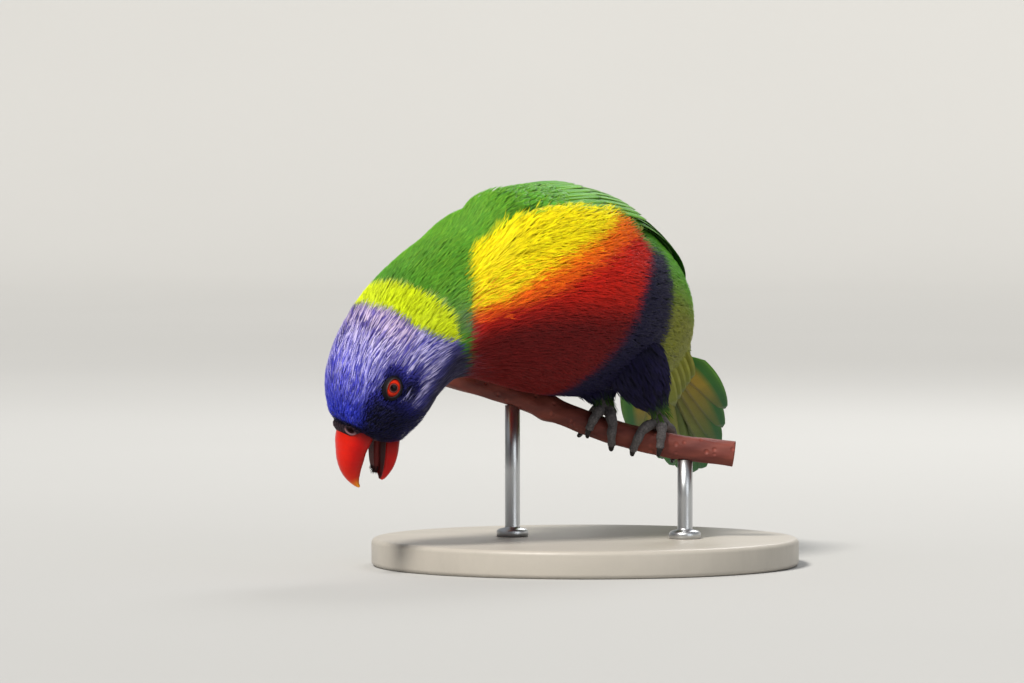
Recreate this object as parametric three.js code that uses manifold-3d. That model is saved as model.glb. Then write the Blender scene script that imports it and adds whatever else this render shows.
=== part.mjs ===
// A rainbow lorikeet, life size, leaning down from a short cut branch on a plain display stand.
// Millimetres, +Z up. The origin is the middle of the underside of the stand's base.
// The bird faces -X and a little -Y, so its left side is towards -Y.
// Its body is one skin of oval sections along a bent spine, parted by thin cuts into head, neck and torso.
// A place on or over that skin is (row, angle): row counts along SPINE, and angle turns from the
// back (0) towards the bird's left (positive).
import * as THREE from "three";
import { mergeVertices } from "three/addons/utils/BufferGeometryUtils.js";
import Module from "manifold-3d";

const wasm = await Module();
wasm.setup();

const GAP = 0.3; // between one piece and the next
const SLIVER = 0.04; // details smaller than this are melted away
const DEGREE = Math.PI / 180;

// One row for each section: its centre x, y, z; the way the back faces x, y, z; and how far the
// skin reaches from the centre towards the back, the belly and each side.
const SPINE = [
  [-64.4, -52.0, 40.0, -0.86, -0.46, 0.24, 4.5, 5.5, 4.5], // 0 face, inside the bill
  [-63.6, -52.0, 42.0, -0.86, -0.46, 0.24, 9.4, 11.2, 8.8], // 1 root of the bill
  [-62.2, -51.8, 45.4, -0.85, -0.47, 0.24, 12.8, 13.2, 11.6], // 2 lores
  [-59.7, -51.0, 51.2, -0.84, -0.47, 0.27, 16.0, 15.4, 14.2], // 3 eye
  [-55.2, -49.0, 61.4, -0.80, -0.36, 0.46, 17.4, 16.8, 15.8], // 4 back of the head
  [-47.6, -45.0, 70.6, -0.68, -0.12, 0.72, 18.8, 18.0, 17.8], // 5 neck
  [-37.0, -38.0, 76.4, -0.52, 0.10, 0.84, 22.0, 21.4, 22.4], // 6 shoulder
  [-24.6, -27.0, 79.4, -0.42, 0.28, 0.86, 25.4, 26.0, 26.4], // 7 breast
  [-11.8, -12.0, 79.2, -0.38, 0.32, 0.86, 28.2, 29.2, 28.6], // 8 middle
  [-0.4, 4.0, 76.8, -0.40, 0.34, 0.85, 27.2, 28.6, 27.6], // 9 belly
  [9.4, 20.0, 72.6, -0.40, 0.36, 0.84, 22.4, 24.2, 23.6], // 10 rump
  [16.0, 34.0, 67.0, -0.36, 0.38, 0.85, 15.8, 17.0, 17.6], // 11 vent
  [20.0, 46.0, 60.8, -0.30, 0.46, 0.84, 8.8, 9.4, 12.4], // 12 root of the tail
  [25.4, 66.0, 50.0, -0.24, 0.50, 0.82, 3.4, 3.0, 10.0], // 13 middle of the tail
  [33.0, 106.0, 29.6, -0.20, 0.50, 0.84, 1.4, 1.2, 6.0], // 14 towards the tail's tip
  [36.4, 125.0, 19.6, -0.20, 0.50, 0.84, 0.6, 0.6, 2.0], // 15 tip of the tail
];
const NAPE_CUT = 4.55;
const NECK_CUT = 6.1;
const RUMP_CUT = 12.0;
const CUT = 0.02; // rows missing at each cut
const ROUND = 26; // corners of a section

const FEATHER_THICK = 0.75;
const TIP_THICK = 0.45;
const TIP_HALF = 0.8; // half the width of a feather's blunt tip
const TILE_TILT = 17; // degrees that each wing feather leans over the next
const UNEVEN = 0.05; // how much the feathers of a tier differ in width
// The room that the wings leave round the root of the tail, and the row that it reaches.
const TAIL_CLEAR = { room: 2.2, row: 13.4 };

const EYE = { row: 3.25, angle: 79, depth: 3.4, radius: 4.3 };
const LID = { radius: 3.4, thick: 0.85, sunk: 0.25 };

const PERCH_RADIUS = 3.6;
const PERCH = [
  [-41.0, 10.0, 55.0],
  [-21.8, 5.0, 49.6],
  [-5.8, 0.5, 43.6],
  [7.8, -3.0, 38.9],
  [25.2, -5.0, 34.9],
  [43.0, -5.0, 32.4],
];
const PERCH_TAPER = [0.94, 1.04]; // its thickness at each end, as a share
const KNOT = { place: 0.36, spread: 0.03, high: 0.7 }; // shares of the perch's length, and a height
const BASE = { radius: 62, height: 8, bevel: 1.2 };
const ROD_RADIUS = 2.2;
const ROD_PLACES = [0.24, 0.84]; // shares of the perch's length

const LEGS = {
  left: { side: 1, hip: [12, -8, 63], heel: [21, -6, 46.0], foot: 0.745 },
  right: { side: -1, hip: [0, 4, 63], heel: [5.4, -1.4, 47.6], foot: 0.55 },
};

const COLOURS = {
  head: 0x3c3fa8,
  neck: 0x4f9a2a,
  torso: 0xd8501c,
  wing: 0x2f8f27,
  tail: 0x3f7d24,
  thigh: 0x232a55,
  foot: 0x6c6a68,
  bill: 0xd8201c,
  cere: 0x4a3a44,
  tongue: 0x6a4a48,
  eye: 0xc23418,
  perch: 0x6b2f28,
  rod: 0xb9bbbd,
  base: 0x8d8a84,
};

const vec = (a) => new THREE.Vector3(a[0], a[1], a[2]);

// A smooth curve through rows of numbers, at a place counted in rows.
function between(rows, place) {
  const i = Math.min(Math.max(Math.floor(place), 0), rows.length - 2);
  const u = place - i;
  const pick = (k) => rows[Math.min(Math.max(k, 0), rows.length - 1)];
  const [a, b, c, d] = [pick(i - 1), pick(i), pick(i + 1), pick(i + 2)];
  return b.map((_, k) => {
    const slope = c[k] - a[k];
    const bend = 2 * a[k] - 5 * b[k] + 4 * c[k] - d[k];
    const twist = 3 * b[k] - a[k] - 3 * c[k] + d[k];
    return 0.5 * (2 * b[k] + slope * u + bend * u * u + twist * u * u * u);
  });
}

// The centre, the three directions and the three reaches of the body at a row.
function sectionAt(row) {
  const now = between(SPINE, row);
  const ahead = vec(between(SPINE, row - 0.01));
  const behind = vec(between(SPINE, row + 0.01));
  const forward = ahead.sub(behind).normalize();
  const back = new THREE.Vector3(now[3], now[4], now[5]);
  back.addScaledVector(forward, -back.dot(forward)).normalize();
  const left = new THREE.Vector3().crossVectors(back, forward);
  return { centre: vec(now), forward, back, left, reach: now.slice(6, 9) };
}

// The point of the skin at a row and an angle in degrees, lifted off it.
function skinPoint(row, angle, lift = 0) {
  const s = sectionAt(row);
  const c = Math.cos(angle * DEGREE);
  const up = (c > 0 ? s.reach[0] : s.reach[1]) + lift;
  return s.centre
    .clone()
    .addScaledVector(s.back, c * up)
    .addScaledVector(s.left, Math.sin(angle * DEGREE) * (s.reach[2] + lift));
}

// A closed body from rings of points, each ring in the same order, with flat ends.
// The sides from number "flip" on up to "back" are split along their other diagonal.
function bodyFromRings(rings, flip = 0, back = 0) {
  const count = rings[0].length;
  const points = rings.flat();
  const middle = (ring) =>
    ring.reduce((sum, p) => sum.add(p), new THREE.Vector3()).divideScalar(ring.length);
  points.push(middle(rings[0]), middle(rings[rings.length - 1]));
  const faces = [];
  for (let r = 0; r + 1 < rings.length; r++)
    for (let k = 0; k < count; k++) {
      const a = r * count + k;
      const b = r * count + ((k + 1) % count);
      if (k >= flip && k < back) faces.push([a, b, a + count], [b, b + count, a + count]);
      else faces.push([a, b, b + count], [a, b + count, a + count]);
    }
  const last = (rings.length - 1) * count;
  for (let k = 0; k < count; k++) {
    const next = (k + 1) % count;
    faces.push([next, k, points.length - 2]);
    faces.push([last + k, last + next, points.length - 1]);
  }
  return solidFrom(points, faces);
}

// A manifold solid from points and triangles, turned to face out.
function solidFrom(points, faces) {
  const make = (list) =>
    new wasm.Manifold(
      new wasm.Mesh({
        numProp: 3,
        vertProperties: new Float32Array(points.flatMap((p) => [p.x, p.y, p.z])),
        triVerts: new Uint32Array(list.flat()),
      }),
    );
  const solid = make(faces);
  return solid.volume() >= 0 ? solid : make(faces.map(([a, b, c]) => [a, c, b]));
}

// A manifold solid from a three.js geometry, set in place by a matrix.
function solidOf(geometry, matrix = new THREE.Matrix4()) {
  const plain = geometry.clone().applyMatrix4(matrix);
  plain.deleteAttribute("normal");
  plain.deleteAttribute("uv");
  const merged = mergeVertices(plain, 1e-4);
  return new wasm.Manifold(
    new wasm.Mesh({
      numProp: 3,
      vertProperties: merged.attributes.position.array,
      triVerts: new Uint32Array(merged.index.array),
    }),
  );
}

const joined = (solids) => wasm.Manifold.union(solids);

// The largest closed surface of a solid, without any hollow inside it.
function largest(solid) {
  const { numProp, vertProperties, triVerts } = solid.simplify(SLIVER).getMesh();
  const point = (k) => new THREE.Vector3().fromArray(vertProperties, k * numProp);
  const shell = Array.from({ length: vertProperties.length / numProp }, (_, k) => k);
  const root = (k) => {
    while (shell[k] !== k) k = shell[k] = shell[shell[k]];
    return k;
  };
  const faces = [];
  for (let i = 0; i < triVerts.length; i += 3) {
    const face = [triVerts[i], triVerts[i + 1], triVerts[i + 2]];
    shell[root(face[1])] = root(face[0]);
    shell[root(face[2])] = root(face[0]);
    faces.push(face);
  }
  const volumes = new Map();
  for (const [a, b, c] of faces) {
    const share = point(a).dot(point(b).cross(point(c)));
    volumes.set(root(a), (volumes.get(root(a)) ?? 0) + share);
  }
  const [main] = [...volumes].reduce((best, next) => (next[1] > best[1] ? next : best));
  const points = shell.map((_, k) => point(k));
  return solidFrom(points, faces.filter(([a]) => root(a) === main));
}

// The body's skin from one row to another, lifted off by a distance.
function skinBody(from, to, steps, lift = 0) {
  const rings = [];
  for (let i = 0; i <= steps; i++) {
    const row = from + ((to - from) * i) / steps;
    const ring = [];
    for (let k = 0; k < ROUND; k++) ring.push(skinPoint(row, (k * 360) / ROUND, lift));
    rings.push(ring);
  }
  if (lift > 0) {
    const [first, last] = [sectionAt(from), sectionAt(to)];
    rings[0] = rings[0].map((p) => p.clone().addScaledVector(first.forward, lift));
    const end = rings.length - 1;
    rings[end] = rings[end].map((p) => p.clone().addScaledVector(last.forward, -lift));
  }
  return bodyFromRings(rings);
}

// A body of oval sections along a bent line: each stop is a centre, two directions and two reaches.
function sweep(stops, sides) {
  const rings = stops.map(({ at, across, up, wide, high }) => {
    const ring = [];
    for (let k = 0; k < sides; k++) {
      const a = (k * 2 * Math.PI) / sides;
      ring.push(
        at
          .clone()
          .addScaledVector(across, Math.cos(a) * wide)
          .addScaledVector(up, Math.sin(a) * high),
      );
    }
    return ring;
  });
  return bodyFromRings(rings);
}

// A round tube along points, with a radius at each.
function tube(points, radii, sides) {
  const stops = points.map((at, i) => {
    const ahead = points[Math.min(i + 1, points.length - 1)];
    const along = ahead.clone().sub(points[Math.max(i - 1, 0)]).normalize();
    const across = Math.abs(along.y) < 0.9 ? new THREE.Vector3(0, 1, 0) : new THREE.Vector3(1, 0, 0);
    across.addScaledVector(along, -across.dot(along)).normalize();
    const up = new THREE.Vector3().crossVectors(along, across);
    return { at, across, up, wide: radii[i], high: radii[i] };
  });
  return sweep(stops, sides);
}

// Half the width of a feather at a share of its length: narrow at the quill, round at the tip.
const featherHalf = (u, wide, point) =>
  wide * Math.min(1, 0.45 + 2.2 * u) * Math.pow(Math.max(1 - Math.pow(u, point), 0), 0.55);

// One flat feather: stops along its shaft, each with a centre, a direction across and one out.
function vane(stops, wide, point) {
  const last = stops.length - 1;
  const rings = stops.map(({ at, across, out }, i) => {
    const half = Math.max(featherHalf(i / last, wide, point), TIP_HALF);
    const thick = (i === last ? TIP_THICK : FEATHER_THICK) / 2;
    const place = (x, z) => at.clone().addScaledVector(across, x).addScaledVector(out, z);
    return [place(-half, thick), place(-half, -thick), place(half, -thick), place(half, thick)];
  });
  return bodyFromRings(rings, 1, 2);
}

// A feather lying over the skin from one place to another, each place [row, angle, lift].
// tilt turns it about its own shaft, as a roof tile, in degrees.
function lyingVane({ from, to, wide, tilt, point = 4, steps = 7, bow = 0 }) {
  const stops = [];
  for (let i = 0; i <= steps; i++) {
    const u = i / steps;
    const mix = from.map((v, k) => v + (to[k] - v) * u);
    mix[1] += bow * Math.sin(Math.PI * u);
    const at = skinPoint(mix[0], mix[1], mix[2]);
    const beside = skinPoint(mix[0], mix[1] + 4, mix[2]);
    const ahead = skinPoint(mix[0] + 0.05, mix[1], mix[2]);
    const across = beside.sub(at).normalize();
    const along = ahead.sub(at).normalize();
    across.addScaledVector(along, -across.dot(along)).normalize();
    const out = new THREE.Vector3().crossVectors(across, along);
    if (out.dot(sectionAt(mix[0]).centre.sub(at)) > 0) out.negate();
    const turned = across.clone().applyAxisAngle(along, tilt * DEGREE);
    const raised = out.clone().applyAxisAngle(along, tilt * DEGREE);
    stops.push({ at, across: turned, out: raised });
  }
  return vane(stops, wide, point);
}

const mixed = (a, b, share) => a + (b - a) * share;

// Tiers of a folded wing, undermost first. Each runs from its first feather to its last, and
// gives both ends' rows and angles at the root and at the tip, and the lifts off the skin.
const WING_TIERS = [
  // primaries, the outermost and longest first
  {
    count: 7,
    rootRow: [8.4, 8.4],
    tipRow: [12.95, 11.7],
    rootAngle: [66, 44],
    tipAngle: [42, 25],
    lift: [1.9, 4.6],
    wide: [4.6, 5.2],
    steps: 6,
    point: 5,
  },
  // secondaries, from the wing's lower edge up to the back
  {
    count: 7,
    rootRow: [7.9, 7.9],
    tipRow: [10.9, 10.3],
    rootAngle: [63, 18],
    tipAngle: [70, 20],
    lift: [2.8, 3.8],
    wide: [4.8, 5.4],
    steps: 4,
    point: 5,
  },
  // greater coverts
  {
    count: 8,
    rootRow: [7.3, 7.3],
    tipRow: [9.1, 8.9],
    rootAngle: [60, 17],
    tipAngle: [68, 18],
    lift: [4.2, 5.2],
    wide: [4.6, 5.2],
    steps: 3,
    point: 4,
  },
];
const EDGE_SINK = 1.3; // how much closer to the body the wing lies along its lower edge
const WING_CORE = {
  rows: [6.35, 11.2],
  angles: [40, 40], // the middle of the arm, at its front and its rear
  half: 29, // degrees to each side of the middle
  thick: [4.4, 1.0], // at the arm and at the rear
  base: 0.9, // its lower edge off the skin
  root: -1, // its underside, inside the skin
  steps: 12,
  across: 8,
};

// One folded wing: a smooth arm that thins out to the rear, with its feathers in tiers.
function wing(side) {
  const pieces = [wingCore(side)];
  for (const tier of WING_TIERS)
    for (let i = 0; i < tier.count; i++) {
      const s = i / (tier.count - 1);
      const { rootRow, tipRow, rootAngle, tipAngle, lift, wide, steps, point } = tier;
      const sink = EDGE_SINK * (1 - s);
      const uneven = 1 + UNEVEN * Math.sin(7 * i + 2);
      pieces.push(
        lyingVane({
          from: [mixed(...rootRow, s), side * mixed(...rootAngle, s), lift[0] - sink],
          to: [mixed(...tipRow, s), side * mixed(...tipAngle, s), lift[1] - sink],
          wide: mixed(...wide, s) * uneven,
          tilt: side * -TILE_TILT,
          steps,
          point,
        }),
      );
    }
  const body = skinBody(NECK_CUT - 0.2, RUMP_CUT + 0.4, 20, GAP);
  const tailRoot = skinBody(RUMP_CUT + CUT, TAIL_CLEAR.row, 5, TAIL_CLEAR.room);
  return largest(joined(pieces).subtract(joined([body, tailRoot])));
}

// The smooth part of a folded wing, a low mound over the skin that narrows and thins to the rear.
function wingCore(side) {
  const { rows, angles, half: widest, thick, base, root, steps, across } = WING_CORE;
  const rings = [];
  for (let i = 0; i <= steps; i++) {
    const u = i / steps;
    const row = mixed(...rows, u);
    const middle = mixed(...angles, u);
    const half = widest * Math.min(1, 0.5 + 2.6 * u) * (1 - 0.45 * u * u);
    const arm = Math.min(1, 0.3 + 4 * u) * (0.5 + 0.5 * Math.cos(Math.PI * Math.min(1, 1.5 * u)));
    const high = mixed(thick[1], thick[0], arm);
    const angleAt = (v) => side * (middle + half * (2 * v - 1));
    const ring = [];
    for (let k = 0; k <= across; k++) {
      const v = k / across;
      ring.push(skinPoint(row, angleAt(v), base + high * Math.sqrt(Math.sin(Math.PI * v))));
    }
    for (let k = across; k >= 0; k--) ring.push(skinPoint(row, angleAt(k / across), root));
    rings.push(ring);
  }
  return bodyFromRings(rings);
}

// The tail's long feathers, in pairs from the middle out, and its coverts.
const TAIL = {
  fleshTo: 12.9, // the row that the flesh of its root reaches
  pairs: 6,
  rootRow: 12.2,
  tipRow: 15,
  shorter: 1.55, // rows that the outermost pair falls short of the middle one
  rootSide: [1, 1.2], // place beside the middle: of the first pair, and what each pair adds
  tipSide: [1.4, 2.5],
  high: 1.6, // the first pair above the middle line
  drop: 1.05, // how much lower each pair lies
  stagger: 0.5, // the right of each pair below the left
  half: 5.2,
  tilt: 5,
  steps: 5,
  point: 3,
};
const COVERTS = {
  outermost: 2, // on each side of the middle one
  rootRow: 12.05,
  rootSide: 3.4,
  tilt: 5,
  steps: 3,
  point: 4,
  // for the middle and the outermost: the tip's row, and the heights of root and tip
  upper: { tipRow: [12.95, 12.65], root: [7.0, 5.0], tip: [3.6, 2.6], side: 4.0, half: 4.0 },
  lower: { tipRow: [13.15, 12.8], root: [-6.4, -4.4], tip: [-5.6, -4.6], side: 3.6, half: 4.2 },
};

// One straight feather over the tail's line: places beside it, rows and heights, from root to tip.
function tailVane({ sides, rows, heights, half, tilt, steps, point }) {
  const stops = [];
  for (let i = 0; i <= steps; i++) {
    const u = i / steps;
    const s = sectionAt(mixed(...rows, u));
    const at = s.centre
      .clone()
      .addScaledVector(s.left, mixed(...sides, u))
      .addScaledVector(s.back, mixed(...heights, u));
    const across = s.left.clone().applyAxisAngle(s.forward, tilt * DEGREE);
    const out = s.back.clone().applyAxisAngle(s.forward, tilt * DEGREE);
    stops.push({ at, across, out });
  }
  return vane(stops, half, point);
}

// The tail: twelve long feathers, the middle pair on top, with coverts over and under their roots.
function tail() {
  const pieces = [skinBody(RUMP_CUT + CUT, TAIL.fleshTo, 5)];
  const { half, steps, point } = TAIL;
  for (let i = 0; i < TAIL.pairs; i++) {
    const tipRow = TAIL.tipRow - TAIL.shorter * Math.pow(i / (TAIL.pairs - 1), 0.9);
    for (const side of [1, -1]) {
      const height = TAIL.high - TAIL.drop * i - (side < 0 ? TAIL.stagger : 0);
      const beside = ([first, each]) => side * (first + each * i);
      const sides = [beside(TAIL.rootSide), beside(TAIL.tipSide)];
      const rows = [TAIL.rootRow, tipRow];
      const heights = [height, height];
      const tilt = -side * TAIL.tilt;
      pieces.push(tailVane({ sides, rows, heights, half, tilt, steps, point }));
    }
  }
  for (const [layer, lean] of [[COVERTS.upper, 1], [COVERTS.lower, -1]])
    for (let i = -COVERTS.outermost; i <= COVERTS.outermost; i++) {
      const outer = Math.abs(i) / COVERTS.outermost;
      pieces.push(
        tailVane({
          sides: [COVERTS.rootSide * i, layer.side * i],
          rows: [COVERTS.rootRow, mixed(...layer.tipRow, outer)],
          heights: [mixed(...layer.root, outer), mixed(...layer.tip, outer)],
          half: layer.half,
          tilt: lean * COVERTS.tilt * i,
          steps: COVERTS.steps,
          point: COVERTS.point,
        }),
      );
    }
  return largest(joined(pieces).subtract(skinBody(11, RUMP_CUT, 6, GAP)));
}

// The frame that the bill is set out in: the root of the bill, and forward, back (up) and left.
const face = sectionAt(1);
const facePoint = (forward, up, left = 0) =>
  face.centre
    .clone()
    .addScaledVector(face.forward, forward)
    .addScaledVector(face.back, up)
    .addScaledVector(face.left, left);

// A bill half from stops [forward, up, half height, half width], each section square to the line.
function billHalf(stops, grow, sides = 16) {
  const at = stops.map(([f, u]) => facePoint(f, u));
  const rings = stops.map(([, , high, wide], i) => {
    const along = at[Math.min(i + 1, at.length - 1)].clone().sub(at[Math.max(i - 1, 0)]).normalize();
    const up = new THREE.Vector3().crossVectors(along, face.left).normalize();
    return { at: at[i], across: face.left, up, wide: wide + grow, high: high + grow };
  });
  return sweep(rings, sides);
}

const UPPER_BILL = [
  [-3.5, 1.8, 4.9, 6.2],
  [0.8, 1.8, 5.0, 6.3],
  [4.0, 1.5, 4.7, 5.9],
  [6.8, 0.8, 4.1, 5.0],
  [9.3, -0.3, 3.4, 3.9],
  [11.6, -1.7, 2.6, 2.8],
  [13.5, -3.3, 1.7, 1.8],
  [14.9, -4.9, 0.8, 0.9],
  [15.5, -6.1, 0.35, 0.4],
];
const LOWER_BILL = [
  [-4.0, -7.4, 3.0, 5.2],
  [0.3, -8.8, 3.0, 5.3],
  [3.6, -10.0, 2.8, 4.9],
  [6.5, -10.9, 2.3, 4.0],
  [8.8, -11.3, 1.6, 2.9],
  [10.4, -11.5, 0.95, 1.8],
  [11.3, -11.4, 0.4, 0.9],
];
const TONGUE = [
  [-3.0, -4.0, 1.2, 2.6],
  [2.0, -4.9, 1.2, 2.7],
  [6.0, -6.4, 1.2, 2.5],
  [8.6, -7.5, 1.0, 2.0],
  [10.4, -8.2, 0.55, 1.1],
];
const CERE = [
  [-2.4, 1.8, 5.9, 7.0],
  [1.2, 1.8, 6.3, 7.6],
  [3.0, 1.7, 5.6, 6.9],
];
const CERE_EDGE = 0; // the band stops at this height, beside the bill
const NOSTRIL = { forward: 1.4, up: 6.6, left: 5.2, radius: 1.0 };

const headGrown = () => skinBody(0, NAPE_CUT, 12, GAP);

const upperBill = () => largest(billHalf(UPPER_BILL, 0).subtract(headGrown()));
const lowerBill = () =>
  largest(billHalf(LOWER_BILL, 0).subtract(joined([headGrown(), billHalf(UPPER_BILL, GAP)])));
const tongue = () =>
  largest(
    billHalf(TONGUE, 0, 10).subtract(
      joined([headGrown(), billHalf(UPPER_BILL, GAP), billHalf(LOWER_BILL, GAP)]),
    ),
  );

// The bare band over the upper bill's root, with a nostril sunk in each side.
function cere() {
  const nostrils = [1, -1].map((side) =>
    solidOf(
      new THREE.IcosahedronGeometry(NOSTRIL.radius, 1),
      new THREE.Matrix4().setPosition(facePoint(NOSTRIL.forward, NOSTRIL.up, side * NOSTRIL.left)),
    ),
  );
  const block = 30;
  const below = solidOf(
    new THREE.BoxGeometry(block, block, block),
    new THREE.Matrix4()
      .makeBasis(face.forward, face.left, face.back)
      .setPosition(facePoint(0, CERE_EDGE - block / 2)),
  );
  const inside = joined([headGrown(), billHalf(UPPER_BILL, GAP), below, ...nostrils]);
  return largest(billHalf(CERE, 0, 20).subtract(inside));
}

const eyeCentre = (side) => skinPoint(EYE.row, side * EYE.angle, -EYE.depth);
const eyeBall = (side, grow) =>
  solidOf(
    new THREE.IcosahedronGeometry(EYE.radius + grow, 2),
    new THREE.Matrix4().setPosition(eyeCentre(side)),
  );

// A lid ring round an eye, its middle a little above the skin.
function lid(side) {
  const out = skinPoint(EYE.row, side * EYE.angle, 1).sub(skinPoint(EYE.row, side * EYE.angle, 0));
  out.normalize();
  const turn = new THREE.Quaternion().setFromUnitVectors(new THREE.Vector3(0, 0, 1), out);
  const place = skinPoint(EYE.row, side * EYE.angle, -LID.sunk);
  return solidOf(
    new THREE.TorusGeometry(LID.radius, LID.thick, 6, 14),
    new THREE.Matrix4().compose(place, turn, new THREE.Vector3(1, 1, 1)),
  );
}

function head() {
  const whole = joined([skinBody(0, NAPE_CUT - CUT, 12), lid(1), lid(-1)]);
  return largest(whole.subtract(joined([eyeBall(1, GAP), eyeBall(-1, GAP)])));
}

const neck = () => skinBody(NAPE_CUT, NECK_CUT - CUT, 5);
const torso = () => skinBody(NECK_CUT, RUMP_CUT - CUT, 18);

// The perch's centre line, a smooth curve, and the frame at a share of its length.
const perchCurve = new THREE.CatmullRomCurve3(PERCH.map(vec));
function perchAt(share) {
  const along = perchCurve.getTangentAt(share);
  const up = new THREE.Vector3(0, 0, 1);
  up.addScaledVector(along, -up.z * along.z).normalize();
  return { at: perchCurve.getPointAt(share), along, up, near: new THREE.Vector3().crossVectors(along, up) };
}

// How thick the branch is along its length, with a knot where a twig once grew.
const perchRadius = (share) =>
  PERCH_RADIUS * mixed(...PERCH_TAPER, share) +
  KNOT.high * Math.exp(-Math.pow((share - KNOT.place) / KNOT.spread, 2));

function perchBody(grow) {
  const steps = 18;
  const [points, radii] = [[], []];
  for (let i = 0; i <= steps; i++) {
    points.push(perchCurve.getPointAt(i / steps));
    radii.push(perchRadius(i / steps) + grow);
  }
  return tube(points, radii, 12);
}

// A thigh's reach along its length, from the hip to the heel: the share, then half its width each way.
const THIGH = [
  [0.0, 9.0, 8.0],
  [0.3, 9.4, 8.6],
  [0.6, 8.0, 7.4],
  [0.82, 6.0, 5.6],
  [1.0, 3.4, 3.2],
];

// One leg's feathered thigh, from inside the torso down to the heel.
function thigh({ hip, heel }) {
  const [top, bottom] = [vec(hip), vec(heel)];
  const along = bottom.clone().sub(top).normalize();
  const across = new THREE.Vector3(1, 0, 0).addScaledVector(along, -along.x).normalize();
  const up = new THREE.Vector3().crossVectors(along, across);
  const stops = THIGH.map(([share, wide, high]) => ({
    at: top.clone().lerp(bottom, share),
    across,
    up,
    wide,
    high,
  }));
  return largest(sweep(stops, 14).subtract(skinBody(7, RUMP_CUT, 24, GAP)));
}

// Half the shank's thickness from the heel down to the sole, and how far its middle ends over the perch.
const SHANK = { stops: [[0, 2.5], [0.35, 2.1], [0.7, 2.2], [1, 2.4]], sole: 1.6 };
const TOE = { radius: 1.75, tip: 1.15, pinch: 0.93, steps: 6 };
const CLAW = { length: 5.2, radius: 0.95, tip: 0.3, arch: 0.9, overlap: 6, steps: 3 };
// Each toe: its place along the perch, the way round it goes (1 near, -1 far), its arc in degrees,
// and how far its tip strays along the perch.
const TOES = [
  { along: -3.4, way: 1, arc: 128, splay: -2.6 },
  { along: 0.6, way: 1, arc: 100, splay: 1.0 },
  { along: -1.6, way: -1, arc: 92, splay: -0.8 },
  { along: 2.8, way: -1, arc: 124, splay: 2.6 },
];

// One toe and its claw, closed round the perch: two tubes. round gives a point over the perch.
function toeAndClaw(toe, side, bough, round) {
  const [points, radii] = [[], []];
  for (let i = 0; i <= TOE.steps; i++) {
    const u = i / TOE.steps;
    const r = mixed(TOE.radius, TOE.tip, u) * (i % 2 ? 1 : TOE.pinch);
    const lateral = side * (toe.along * Math.min(1, 0.25 + 1.6 * u) + toe.splay * u);
    points.push(round(lateral, toe.way * toe.arc * u, bough + GAP + r));
    radii.push(r);
  }
  const [claw, sharp] = [[], []];
  const lateral = side * (toe.along + toe.splay);
  const arc = CLAW.length / (bough + TOE.radius) / DEGREE;
  for (let i = 0; i <= CLAW.steps; i++) {
    const u = i / CLAW.steps;
    const r = mixed(CLAW.radius, CLAW.tip, u);
    const lifted = bough + GAP + r + CLAW.arch * Math.sin(Math.PI * Math.min(u + 0.1, 1));
    claw.push(round(lateral, toe.way * (toe.arc - CLAW.overlap + arc * u), lifted));
    sharp.push(r);
  }
  return [tube(points, radii, 7), tube(claw, sharp, 5)];
}

// A foot: a short shank from the heel, and four toes that close round the perch, two each way.
function foot({ side, hip, heel, foot: place }) {
  const perch = perchAt(place);
  const bough = perchRadius(place);
  const top = vec(heel);
  const leg = top.clone().sub(vec(hip)).normalize();
  const sole = perch.at.clone().addScaledVector(perch.up, bough + GAP + SHANK.sole);
  const start = top.clone().addScaledVector(leg, GAP);
  const shank = tube(
    SHANK.stops.map(([share]) => start.clone().lerp(sole, share)),
    SHANK.stops.map(([, radius]) => radius),
    10,
  );
  const round = (along, angle, radius) =>
    perch.at
      .clone()
      .addScaledVector(perch.along, along)
      .addScaledVector(perch.up, Math.cos(angle * DEGREE) * radius)
      .addScaledVector(perch.near, Math.sin(angle * DEGREE) * radius);
  const toes = TOES.flatMap((toe) => toeAndClaw(toe, side, bough, round));
  const whole = joined([shank, ...toes]).subtract(perchBody(GAP));
  return largest(whole.trimByPlane(leg.toArray(), start.dot(leg)));
}

function standBase() {
  const { radius, height, bevel } = BASE;
  const profile = [
    [0, 0],
    [radius - bevel, 0],
    [radius, bevel],
    [radius, height - bevel],
    [radius - bevel, height],
    [0, height],
  ];
  const points = profile.map(([x, y]) => new THREE.Vector2(x, y));
  const upright = new THREE.Matrix4().makeRotationX(Math.PI / 2);
  return solidOf(new THREE.LatheGeometry(points, 40), upright);
}

function standRod(share) {
  const { at } = perchAt(share);
  const bottom = BASE.height + GAP;
  const length = at.z - bottom;
  const rod = solidOf(
    new THREE.CylinderGeometry(ROD_RADIUS, ROD_RADIUS, length, 20),
    new THREE.Matrix4()
      .makeTranslation(at.x, at.y, bottom + length / 2)
      .multiply(new THREE.Matrix4().makeRotationX(Math.PI / 2)),
  );
  return largest(rod.subtract(perchBody(GAP)));
}

const lorikeet = new THREE.Group();

function add(name, solid, colour, roughness = 0.8, metalness = 0) {
  const { numProp, vertProperties, triVerts } = solid.getMesh();
  const count = vertProperties.length / numProp;
  const positions = new Float32Array(count * 3);
  for (let i = 0; i < count; i++)
    positions.set(vertProperties.subarray(i * numProp, i * numProp + 3), i * 3);
  const geometry = new THREE.BufferGeometry()
    .setAttribute("position", new THREE.BufferAttribute(positions, 3))
    .setIndex(new THREE.BufferAttribute(triVerts, 1));
  const material = new THREE.MeshStandardMaterial({ color: colour, roughness, metalness });
  const mesh = new THREE.Mesh(geometry, material);
  mesh.name = name;
  lorikeet.add(mesh);
}

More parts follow.
